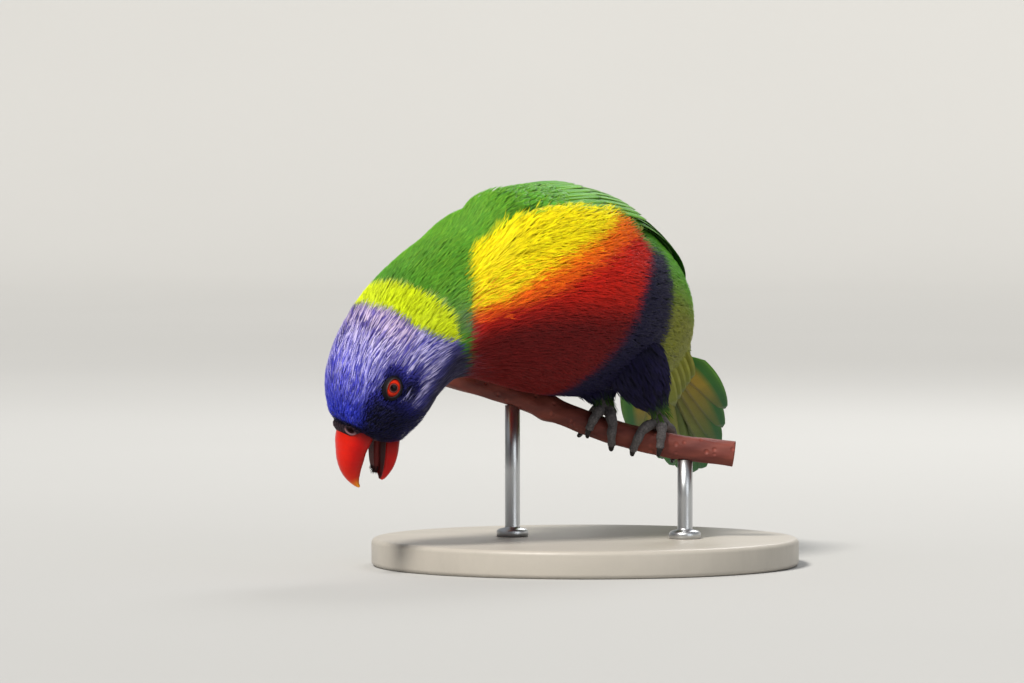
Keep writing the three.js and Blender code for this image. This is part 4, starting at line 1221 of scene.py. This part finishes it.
def toe(skin, grip, lateral, way, arc, splay):
    """One toe bent round the branch, with pads below and scutes above."""
    u = np.linspace(0, 1, 61)
    scute = (u * 11) % 1
    radius = run(TOE_RADIUS, u) * (1 + 0.07 * np.cos(u * np.pi * 6)) * 0.98
    angle = np.radians(way * arc * u)
    beside = lateral * np.minimum(1, 0.25 + 1.6 * u) + splay * u
    path = grip.around(angle, beside, radius)[:, None]
    rings = tube_rings(path[:, 0], radius, 18, hint=grip.along)
    away = ((rings - path) * grip.out(angle)[:, None]).sum(-1) / radius[:, None]
    grow = np.where(away > 0, 0.07 * (scute[:, None] - 0.5) * smooth(away, 0, 0.7), 0)
    tint = mix(SOLE_GREY, FOOT_GREY, smooth(away, -0.6, 0.2))
    tint = tint * (0.75 + 0.25 * smooth(scute, 0.0, 0.2))[:, None, None]
    add_sweep(skin, path + (rings - path) * (1 + grow)[..., None], tint)


def claw(claws, grip, lateral, way, arc, splay):
    """One claw, bowed off the bark from the end of its toe."""
    t = np.linspace(0, 1, 22)
    radius = 0.95 * (1 - t) ** 0.8 + 0.06
    angle = np.radians(way * (arc - 6)) + way * CLAW_LENGTH / (grip.radius + 1.5) * t
    path = grip.around(angle, lateral + splay, radius + 0.9 * np.sin(np.pi * np.minimum(t + 0.1, 1)))
    rings = tube_rings(path, radius, 14, hint=grip.along)
    add_sweep(claws, rings, mix(CLAW_DARK, CLAW_DARK * 0.5, np.broadcast_to(t[:, None], (22, 14))))


def foot(name, looks):
    """A grey scaled foot with two toes each way round the branch, and its claws."""
    leg = LEGS[name]
    side, grip = leg["side"], Grip(leg["foot"])
    skin, claws = Shape(), Shape()
    shank(skin, grip, leg)
    for lateral, way, arc, splay in TOES:
        toe(skin, grip, side * lateral, way, arc, side * splay)
        claw(claws, grip, side * lateral, way, arc, side * splay)
    skin.piece(f"{name}_foot_skin", looks["scales"], "feet", [f"{name}_foot"])
    claws.piece(f"{name}_claws", looks["claw"], "feet")


# Skin

def skin(looks):
    """One skin under the coat: head, neck, body and thighs, melted into each other."""
    raw = Shape()
    rows = np.concatenate([np.linspace(0, 6, 90), np.linspace(6.05, RUMP_ROW, 90)])
    angles = np.linspace(0, 360, 96, endpoint=False)
    depth = HEAD_COAT + (BODY_COAT - HEAD_COAT) * smooth(rows, 4.2, 6.2)
    grid = BODY.point(rows[:, None], angles[None], -depth[:, None])
    add_sweep(raw, grid, MOUTH)
    places = np.linspace(0.3, THIGH_END, 40)
    for name in LEGS:
        add_sweep(raw, thigh_form(name).point(places[:, None], angles[None], -1.3), MOUTH)
    piece = raw.piece("skin", looks["skin"], "breast_plumage",
                      ["head", "neck", "torso", "left_thigh", "right_thigh"])
    remesh = piece.modifiers.new("melt", "REMESH")
    remesh.mode = "VOXEL"
    remesh.voxel_size = 0.9 * MM
    remesh.use_smooth_shade = True
    evaluated = piece.evaluated_get(bpy.context.evaluated_depsgraph_get())
    mesh = bpy.data.meshes.new_from_object(evaluated)
    piece.modifiers.clear()
    piece.data = mesh
    mesh.materials.clear()
    mesh.materials.append(looks["skin"])
    colour_skin(mesh, rows, angles, grid)


def colour_skin(mesh, rows, angles, grid):
    """Paints the skin with the markings of the nearest place on the body, darkened as painted shade under the
    coat.
    """
    tree = kdtree.KDTree(grid.shape[0] * grid.shape[1])
    for i, point in enumerate(grid.reshape(-1, 3)):
        tree.insert(point * MM, i)
    tree.balance()
    points = np.zeros(len(mesh.vertices) * 3, np.float32)
    mesh.vertices.foreach_get("co", points)
    points = points.reshape(-1, 3)
    found = np.array([tree.find(Vector(p))[1:] for p in points])
    nearest = found[:, 0].astype(int)
    # Painted shade: the skin is darker than the coat's markings, for the depth under the feathers.
    colour = markings(rows[nearest // len(angles)], angles[nearest % len(angles)]) * 0.7
    inside = ~clear_of_mouth(points / MM) & (face_place(points / MM)[0] > -2.5)
    colour[inside] = MOUTH
    on_thigh = found[:, 1] / MM > 1.6
    # The thighs' skin is navy in painted shade too.
    colour[on_thigh] = NAVY * 0.7
    paint(mesh, colour)


# Bill, cere, tongue and eyes: places are (forward, up, half height, half width) from the root of the bill

UPPER_BILL = [[-3.5, 1.8, 4.9, 6.2], [0.8, 1.8, 5.0, 6.3], [4.0, 1.5, 4.7, 5.9], [6.8, 0.8, 4.1, 5.0],
              [9.3, -0.2, 3.7, 4.2], [11.6, -1.5, 3.0, 3.1], [13.5, -3.1, 2.0, 2.1], [14.9, -4.8, 0.95, 1.05],
              [15.5, -6.1, 0.35, 0.4]]
LOWER_BILL = [[-4.0, -7.4, 3.0, 5.2], [0.3, -8.8, 3.0, 5.3], [3.6, -10.0, 2.8, 4.9], [6.5, -10.9, 2.3, 4.0],
              [8.8, -11.3, 1.6, 2.9], [10.4, -11.5, 0.95, 1.8], [11.3, -11.4, 0.4, 0.9]]
TONGUE = [[-3.0, -4.0, 1.2, 2.6], [2.0, -5.1, 1.2, 2.6], [6.0, -6.9, 1.15, 2.3], [8.4, -8.1, 0.9, 1.8],
          [10.0, -8.9, 0.4, 0.8]]
BRISTLES = 90
BILL_RED, BILL_ORANGE, BILL_AMBER = srgb(200, 6, 2), srgb(226, 42, 4), srgb(246, 160, 24)
BILL_DEEP = srgb(124, 4, 3)
TONGUE_PINK, TONGUE_GREY = srgb(92, 30, 28), srgb(42, 20, 20)


def bill_rings(stops, steps, sides, groove, edge=0.0):
    """Rings of a bill half along its bent line, square to the line.

    groove hollows the side that faces the mouth, below (-) or above (+), and edge draws the
    cutting edges along it out.
    """
    row = np.linspace(0, len(stops) - 1, steps)
    share = row[:, None] / (len(stops) - 1)
    f, u, high, wide = between(stops, row).T
    high, wide = (np.maximum(size, 0.1)[:, None, None] for size in (high, wide))
    at = face_point(f, u)
    up = unit(np.cross(unit(np.gradient(at, axis=0)), FACE_LEFT))
    turn = circle(sides)
    x, y = np.cos(turn), np.sin(turn)
    mouth = np.maximum(y * np.sign(groove), 0)
    fade = 1 - smooth(share, 0.7, 0.95)
    x = x * (1 + edge * fade * np.sin(np.pi * mouth) * 0.5)
    y = y - np.sign(groove) * fade * (abs(groove) * smooth(mouth, 0.62, 1.0) - 0.12 * np.sin(np.pi * mouth))
    rings = at[:, None] + FACE_LEFT * x[..., None] * wide + up[:, None] * y[..., None] * high
    return rings, share, np.broadcast_to(turn, x.shape)


def upper_bill(looks):
    """The hooked upper half: faint growth rings and an amber tip, with a painted highlight of orange on top
    and painted shade of deep red underneath.
    """
    rings, share, turn = bill_rings(UPPER_BILL, 110, 72, -0.5, 0.06)
    growth = 0.004 * np.sin(share * 95 + 0.6 * np.sin(turn * 2)) * smooth(share, 0.15, 0.4)
    middle = rings.mean(1, keepdims=True)
    rings = middle + (rings - middle) * (1 + growth[..., None])
    low = -np.sin(turn)
    tone = layered(
        mix(BILL_DEEP, BILL_RED, smooth(share, 0.12, 0.3)),
        (BILL_ORANGE, smooth(share, 0.5, 0.85) * 0.6),
        (BILL_AMBER, smooth(share, 0.72, 0.94)),
        # Painted highlight: orange over the top of the bill. Painted shade: deep red on its underside, darker
        # still where it faces the mouth.
        (BILL_ORANGE, smooth(-low, 0.1, 0.9) * 0.35),
        (BILL_DEEP, smooth(low, -0.25, 0.75) * 0.7),
        (BILL_DEEP * 0.5, smooth(low, 0.75, 0.95) * 0.8),
    )
    swept(rings, tone, "upper_bill_horn", looks["horn"], "bill", ["upper_bill"])


def lower_bill(looks):
    rings, share, turn = bill_rings(LOWER_BILL, 80, 64, 0.6, 0.04)
    # Painted shade: the lower half is a darker copy of the upper's reds, and dark as the mouth on its inner
    # side.
    tone = layered(
        mix(BILL_DEEP * 0.8, BILL_RED * 0.8, smooth(share, 0.1, 0.4)),
        (BILL_ORANGE, smooth(share, 0.75, 1.0) * 0.6),
        (MOUTH, smooth(np.sin(turn), 0.6, 0.85) * 0.9),
    )
    swept(rings, tone, "lower_bill_horn", looks["horn"], "bill", ["lower_bill"])


def tongue(looks):
    """A blunt, brush-tipped tongue: short bristles crown its end."""
    sides = 28
    rings, share, _ = bill_rings(TONGUE, 40, sides, 0.25)
    shape = Shape()
    add_sweep(shape, rings, mix(TONGUE_PINK, TONGUE_GREY, smooth(share, 0.55, 0.95)) * np.ones((1, sides, 1)))
    rng = np.random.default_rng(SEED + 13)
    t = np.linspace(0, 1, 4)
    for _ in range(BRISTLES):
        ring = rings[int(rng.uniform(0.72, 0.97) * (len(rings) - 1))]
        root = ring[rng.integers(0, sides)]
        lean = unit(root - ring.mean(0)) * 0.4 + FACE_FORWARD * 0.8
        bristle = tube_rings(root + lean * t[:, None] * 0.9, 0.08 * (1.1 - t), 4)
        add_sweep(shape, bristle, TONGUE_GREY * 0.9)
    shape.piece("tongue_flesh", looks["wet"], "tongue", ["tongue"])


# The cere's rows, each with its thickness after the four numbers, and where its sides end
CERE = [[-2.4, 1.8, 5.2, 6.5, 0.5], [0.2, 1.8, 5.05, 6.35, 1.0], [1.6, 1.75, 4.95, 6.25, 0.95],
        [2.6, 1.65, 4.85, 6.1, 0.5], [3.0, 1.6, 4.8, 6.05, 0.12]]
CERE_EDGE = 1.2
NOSTRIL = {"forward": 1.6, "turn": 43, "around": 1.25, "along": 0.68, "deep": 0.9}
CERE_DULL, CERE_FOLD = srgb(24, 14, 22), srgb(80, 56, 66)
CERE_RIM, CERE_PIT = srgb(176, 132, 138), srgb(34, 6, 8)


def cere(looks):
    """The bare band over the bill's root: a soft fold, with a rimmed nostril in each side."""
    rows = np.linspace(0, len(CERE) - 1, 80)
    f, u, high, wide, thick = between(CERE, rows).T[:, :, None]
    start = np.arcsin(np.clip((CERE_EDGE - u) / high, -1, 1))
    t = np.linspace(0, 1, 200)[None]
    turn = start * (1 - t) + (np.pi - start) * t
    ends = smooth(np.minimum(t, 1 - t), 0.0, 0.28)
    f = f - np.maximum(f + 0.5, 0) * 0.75 * (1 - ends)
    middles = np.radians([NOSTRIL["turn"], 180 - NOSTRIL["turn"]])[:, None, None]
    away = np.hypot((turn - middles) * 7.2 / NOSTRIL["around"], (f - NOSTRIL["forward"]) / NOSTRIL["along"])
    pit = np.exp(-((away / 0.95) ** 4)).sum(0)
    rim = np.clip(bell(away - 1.35, 0.32).sum(0), 0, 1)
    swell = (0.32 * bell(away - 1.4, 0.45) + 0.25 * bell(away, 2.6)).sum(0)
    wrinkle = 0.05 * np.sin(turn * 34 + 2 * np.sin(rows[:, None] * 3)) * (1 - pit)
    lift = thick * (0.1 + 0.9 * ends) + (swell + wrinkle) * smooth(thick, 0.1, 0.9) - NOSTRIL["deep"] * pit

    def layer(out):
        return face_point(f, u + np.sin(turn) * (high + out), np.cos(turn) * (wide + out))

    # Painted light and shade round each nostril: its pale rim, strongest on the forward side, is a painted
    # highlight, and the dark inside the pit is painted shade.
    tone = layered(
        mix(CERE_DULL, CERE_FOLD, smooth(wrinkle, -0.02, 0.06) * 0.35),
        (CERE_RIM, rim * smooth(f - NOSTRIL["forward"], -0.5, 0.9) * 0.8),
        (CERE_PIT, smooth(pit, 0.2, 0.7)),
    )
    rings = np.concatenate([layer(np.maximum(lift, 0.08)), layer(-0.2)[:, ::-1]], axis=1)
    # The inner face: the same colours in painted shade, half as bright.
    tone = np.concatenate([tone, tone[:, ::-1] * 0.5], axis=1)
    swept(rings, tone, "cere_skin", looks["leather"], "cere", ["cere"])


# The iris: its rings as distances from the eye's axis
IRIS = {"pupil": 0.8, "inner": 1.06, "grey": 1.14, "fire": 1.28, "end": 2.62}
PUPIL_BLACK, IRIS_BROWN, IRIS_GREY = srgb(2, 2, 2), srgb(48, 12, 10), srgb(112, 70, 66)
IRIS_FIRE, IRIS_DEEP = srgb(212, 46, 14), srgb(112, 10, 8)


def eyeball(name, looks):
    """The eyeball, swelling over its iris, which is painted in rings with fine rays."""
    axis, ahead, crown = eye_frame(name)
    polar = np.concatenate([np.linspace(0.0, 1.0, 90)[1:], np.linspace(1.05, np.pi - 0.04, 20)])[:, None]
    turn = circle(96)
    radius = EYE_RADIUS + 0.16 * bell(EYE_RADIUS * np.sin(polar), 1.9) * (polar < 1)
    ring = np.cos(turn)[:, None] * ahead + np.sin(turn)[:, None] * crown
    rings = EYES[name] + (axis * radius * np.cos(polar))[:, None] + ring * (radius * np.sin(polar))[..., None]
    rays = 0.5 + 0.5 * np.sin(turn * 29 + 3 * np.sin(turn * 5))
    off = EYE_RADIUS * np.sin(polar) + 0.03 * (rays - 0.5)
    tone = layered(
        mix(PUPIL_BLACK, IRIS_BROWN, smooth(off, IRIS["pupil"] - 0.05, IRIS["pupil"] + 0.05)),
        (IRIS_GREY, smooth(off, IRIS["inner"] - 0.06, IRIS["inner"] + 0.04)),
        (IRIS_DEEP, smooth(off, IRIS["grey"], IRIS["grey"] + 0.08)),
        (IRIS_FIRE, smooth(off, IRIS["fire"], IRIS["fire"] + 0.3) * (0.7 + 0.3 * rays)),
        (IRIS_DEEP, smooth(off, IRIS["end"] - 1.0, IRIS["end"])),
        (PUPIL_BLACK, smooth(off, IRIS["end"], IRIS["end"] + 0.15)),
    )
    swept(rings, tone, f"{name}_eyeball", looks["eye"], "eyes", [f"{name}_eye"])


# Across a lid, from the opening (0) to the feathers (1): shares of the way and heights over the eyeball
LID_SHARES = np.array([-0.25, -0.05, 0.0, 0.1, 0.25, 0.4, 0.55, 0.7, 0.85, 1.0, 1.25])
LID_HEIGHTS = np.array([-0.4, 0.08, 0.34, 0.52, 0.46, 0.3, 0.36, 0.26, 0.12, -0.15, -0.9])
LID_DARK, LID_PALE, LID_INNER = srgb(18, 16, 24), srgb(136, 108, 100), srgb(14, 10, 16)


def almond(reach, long, up):
    """The edge of a rounded opening, towards each way round it."""
    return 1 / np.hypot(long / reach[0], up / np.where(up > 0, reach[1], reach[2]))


def lids(name, looks):
    """The bare ring round an eye: a raised rim with fine folds, sunk under the feathers outside."""
    axis, ahead, crown = eye_frame(name)
    turn, share = circle(160)[:, None], LID_SHARES[None]
    up, long = np.sin(turn), np.cos(turn)
    inner, outer = almond(OPENING, long, up), almond(BARE, long, up) + 0.35
    off = inner + (outer - inner) * share
    folds = 0.045 * np.sin(turn * 30 + 2 * share) * smooth(share, 0.05, 0.3)
    crease = 0.06 * np.cos(share * 26) * smooth(share, 0.1, 0.3)
    height = np.sqrt(np.maximum(EYE_RADIUS**2 - off**2, 0.4)) + LID_HEIGHTS + folds + crease
    rings = EYES[name] + (ahead * long[..., None] + crown * up[..., None]) * off[..., None]
    rings = rings + axis * height[..., None]
    rings = np.concatenate([rings, rings[:, ::-1] - axis * 0.5], axis=1)
    count, size = rings.shape[:2]
    r, k = np.meshgrid(np.arange(count), np.arange(size), indexing="ij")
    ahead_r, ahead_k = (r + 1) % count * size, (k + 1) % size
    quads = np.stack([r * size + k, r * size + ahead_k, ahead_r + ahead_k, ahead_r + k], -1)
    # The pale rim: a faint pale edge all round, and on top of it a painted highlight on the upper side,
    # fading towards the bill.
    lit = smooth(up, 0.0, 0.9) * (1 - smooth(long, 0.2, 0.9))
    tone = layered(
        LID_DARK,
        (LID_PALE, bell(share - 0.08, 0.12) * (0.12 + 0.5 * lit)),
        (LID_INNER, 1 - smooth(share, -0.1, 0.02)),
    )
    # The inner face: the same colours in painted shade, half as bright.
    tone = np.concatenate([tone, tone[:, ::-1] * 0.5], axis=1)
    shape = Shape()
    shape.add(rings, quads.ravel(), np.arange(count * size) * 4, tone.reshape(-1, 3))
    shape.piece(f"{name}_lids", looks["leather"], "cere")


def eye(name, looks):
    eyeball(name, looks)
    lids(name, looks)


# Stand

BARK, WORN_BARK = srgb(92, 40, 34), srgb(126, 62, 48)
WOOD, WOOD_RING = srgb(196, 158, 112), srgb(150, 104, 70)
BASE_PAINT, STEEL = srgb(176, 170, 160), srgb(196, 198, 200)


def perch(looks):
    """The cut branch: bark with knots and shallow ridges, and pale cut ends."""
    share = np.linspace(0, 1, 241)
    path = PERCH_LINE[np.round(share * (len(PERCH_LINE) - 1)).astype(int)]
    turn = circle(48)
    rings = tube_rings(path, perch_radius(share), len(turn))
    share = share[:, None]
    wobble = (0.10 * np.sin(3 * turn + 9 * share) + 0.07 * np.sin(7 * turn - 23 * share)
              + 0.05 * np.sin(61 * share + 2 * turn))
    rings = path[:, None] + (rings - path[:, None]) * (1 + wobble / PERCH_RADIUS - 0.03)[..., None]
    worn = 0.5 + 0.5 * np.sin(35 * share + 2 * turn) * np.sin(turn * 2 + 17 * share)
    swept(rings, mix(BARK, WORN_BARK, worn * 0.7), "perch_bark", looks["bark"], "perch", ["stand_perch"])
    cut_end("perch_cut_1", rings[0], path[0], path[3], looks)
    cut_end("perch_cut_2", rings[-1], path[-1], path[-4], looks)


def cut_end(name, ring, middle, inside, looks):
    """A pale disc with rings of growth over a sawn end, rounded at its rim."""
    outward = unit(middle - inside)
    steps = np.linspace(0.0, 1.0, 16)[:, None, None]
    disc = middle + (ring - middle) * (0.05 + 0.87 * steps) + outward * (0.14 - 0.06 * steps**4)
    back = middle + (ring - middle) * 0.92 - outward * 0.3
    tone = mix(WOOD, WOOD_RING, 0.5 + 0.5 * np.sin(steps[:, 0, 0] * 26))
    tone = np.repeat(np.concatenate([tone, tone[-1:]])[:, None], len(ring), axis=1)
    swept(np.concatenate([disc, back[None]]), tone, name, looks["cut"], "perch")


def turned(profile, at, sides):
    """Rings of a body turned about an upright axis, from (radius, height) places."""
    turn = circle(sides)
    return np.array([np.column_stack([at[0] + np.cos(turn) * r, at[1] + np.sin(turn) * r, np.full(sides, z)])
                     for r, z in profile])


def rounded(radius, low, high, bevel):
    """The outline of a disc with rounded rims, from the middle of its underside to that of its top."""
    rims = [(radius - bevel + bevel * math.sin(t), bevel * math.cos(t)) for t in np.linspace(0, np.pi / 2, 8)]
    lower = [(r, low + bevel - z) for r, z in rims]
    upper = [(r, high - bevel + z) for r, z in reversed(rims)]
    inner, outer = radius * 0.2, radius * 0.6
    return [(inner, low), (outer, low), *lower, *upper, (outer, high), (inner, high)]


def stand(looks):
    low, high = (np.array(corner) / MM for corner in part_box("stand_base"))
    profile = rounded((high[0] - low[0]) / 2, low[2], high[2], 1.4)
    swept(turned(profile, (0, 0), 160), BASE_PAINT, "display_base", looks["base"], "stand_base",
          ["stand_base"])
    for i in (1, 2):
        low, high = (np.array(corner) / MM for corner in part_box(f"stand_rod_{i}"))
        r, bottom, top = (high[0] - low[0]) / 2, low[2] - 0.25, high[2]
        collar = [(2.1, 0), (2.1, 1.6), (1.8, 2.2), (1.04, 2.6), (1, 3.0)]
        profile = [(r * 0.3, bottom), *((r * wide, bottom + up) for wide, up in collar),
                   (r, (bottom + top) / 2), (r, top - 0.2), (r * 0.3, top)]
        rings = turned(profile, (low + high) / 2, 40)
        swept(rings, STEEL, f"display_rod_{i}", looks["steel"], "stand_metal", [f"stand_rod_{i}"])


# Camera, lights and stage

CAMERA = {"target": (-0.0212, 0.0, 0.0649), "distance": 2.0, "elevation": 2.0, "width": 0.29696}
SENSOR = 36.0
LIT_MIDDLE = (-0.01, 0, 0.07)
KEY_WAY = (0.42, 0.62, -0.86)
STAGE_GREY = (0.47, 0.47, 0.46)
FLOOR_RADIUS, FLOOR_BEND = 3.0, 1.2  # in metres


def aimed(name, data, at, way):
    """Adds a camera or a light that looks along a way."""
    obj = bpy.data.objects.new(name, data)
    bpy.context.scene.collection.objects.link(obj)
    obj.location = at
    obj.rotation_mode = "QUATERNION"
    obj.rotation_quaternion = Vector(way).to_track_quat("-Z", "Y")
    return obj


def camera():
    data = bpy.data.cameras.new("camera")
    data.sensor_width = SENSOR
    data.lens = SENSOR * CAMERA["distance"] / CAMERA["width"]
    up = math.radians(CAMERA["elevation"])
    back = Vector((0, -math.cos(up), math.sin(up)))
    at = Vector(CAMERA["target"]) + back * CAMERA["distance"]
    bpy.context.scene.camera = aimed("camera", data, at, -back)


def area_light(name, at, size, power, colour=(1, 1, 1)):
    data = bpy.data.lights.new(name, "AREA")
    data.shape = "DISK"
    data.size = size
    data.energy = power
    data.color = colour
    aimed(name, data, at, Vector(LIT_MIDDLE) - Vector(at))


def lights():
    sun = bpy.data.lights.new("key", "SUN")
    sun.energy = 4.1
    sun.angle = math.radians(14)
    sun.color = (1.0, 0.96, 0.9)
    aimed("key", sun, (0, 0, 0), KEY_WAY)
    area_light("fill", (0.9, -1.2, 0.5), 1.0, 4, (0.94, 0.97, 1.0))
    area_light("rim", (0.3, 0.9, 0.8), 0.5, 4)
    world = bpy.data.worlds.new("studio")
    world.use_nodes = True
    sky = world.node_tree.nodes["Background"].inputs
    sky["Color"].default_value = (0.92, 0.95, 1.0, 1)
    sky["Strength"].default_value = 0.38
    bpy.context.scene.world = world
    bpy.context.scene.view_settings.view_transform = "Standard"


def stage(looks):
    """A pale floor that curves up into a backdrop all round, open above."""
    wall = FLOOR_RADIUS + FLOOR_BEND
    curve = [(FLOOR_RADIUS + FLOOR_BEND * math.sin(t), FLOOR_BEND - FLOOR_BEND * math.cos(t))
             for t in np.linspace(0, np.pi / 2, 16)]
    profile = np.array([(0.4, 0.0), (1.0, 0.0), (2.0, 0.0), *curve, (wall, 1.6), (wall, 2.0)]) / MM
    rings = turned(profile, (0, 0), 96)
    loops, starts = ring_faces(len(rings), 96)
    faces = len(starts) - 96
    points = np.concatenate([rings.reshape(-1, 3), [[0, 0, 0]]])
    shape = Shape()
    shape.add(points, loops[:starts[faces]], starts[:faces], STAGE_GREY)
    shape.object("backdrop", looks["stage"])


def all_looks():
    return {
        "coat": feather_look("feather_vanes", 0.5, 14.0, 0.3),
        "soft": feather_look("loose_feathers", 0.6, 12.0, 0.15),
        "skin": grained_look("skin", 0.75, (900, 4), (0.6, 1.2), (0.5, 0.0004), specular=0.3),
        "horn": horn_look("horn", 0.3, 0.04),
        "claw": horn_look("claw_horn", 0.35, 0.3),
        "leather": leather_look("bare_skin", 0.6, 1600, 0.4),
        "scales": leather_look("scaled_skin", 0.6, 1100, 0.7),
        "wet": leather_look("tongue_skin", 0.5, 1500, 0.3),
        "eye": grained_look("eye", 0.08, (2600, 2), (0.75, 1.25), specular=0.14),
        "bark": bark_look(),
        "cut": leather_look("cut_wood", 0.7, 500, 0.3),
        "steel": grained_look("steel", 0.32, (400, 3, 0.6, (1, 1, 0.02)), (0.85, 1.1), (0.08, 0.0001),
                              (0.22, 0.45), metallic=1.0),
        "base": base_look(),
        "stage": grained_look("backdrop", 0.9, (3, 2), (0.98, 1.02), specular=0.1),
    }


def both_sides(looks, *makers):
    """Makes paired pieces, on the left and then on the right."""
    for name in LEGS:
        for make in makers:
            make(name, looks)


def build():
    looks = all_looks()
    camera()
    lights()
    stage(looks)
    skin(looks)
    both_sides(looks, head_coat)
    face_coat(looks)
    both_sides(looks, neck_coat)
    both_sides(looks, breast_coat)
    belly_coat(looks)
    back_coat(looks)
    both_sides(looks, wing, foot, eye)
    tail(looks)
    both_sides(looks, thigh_coat)
    upper_bill(looks)
    lower_bill(looks)
    tongue(looks)
    cere(looks)
    perch(looks)
    stand(looks)


build()
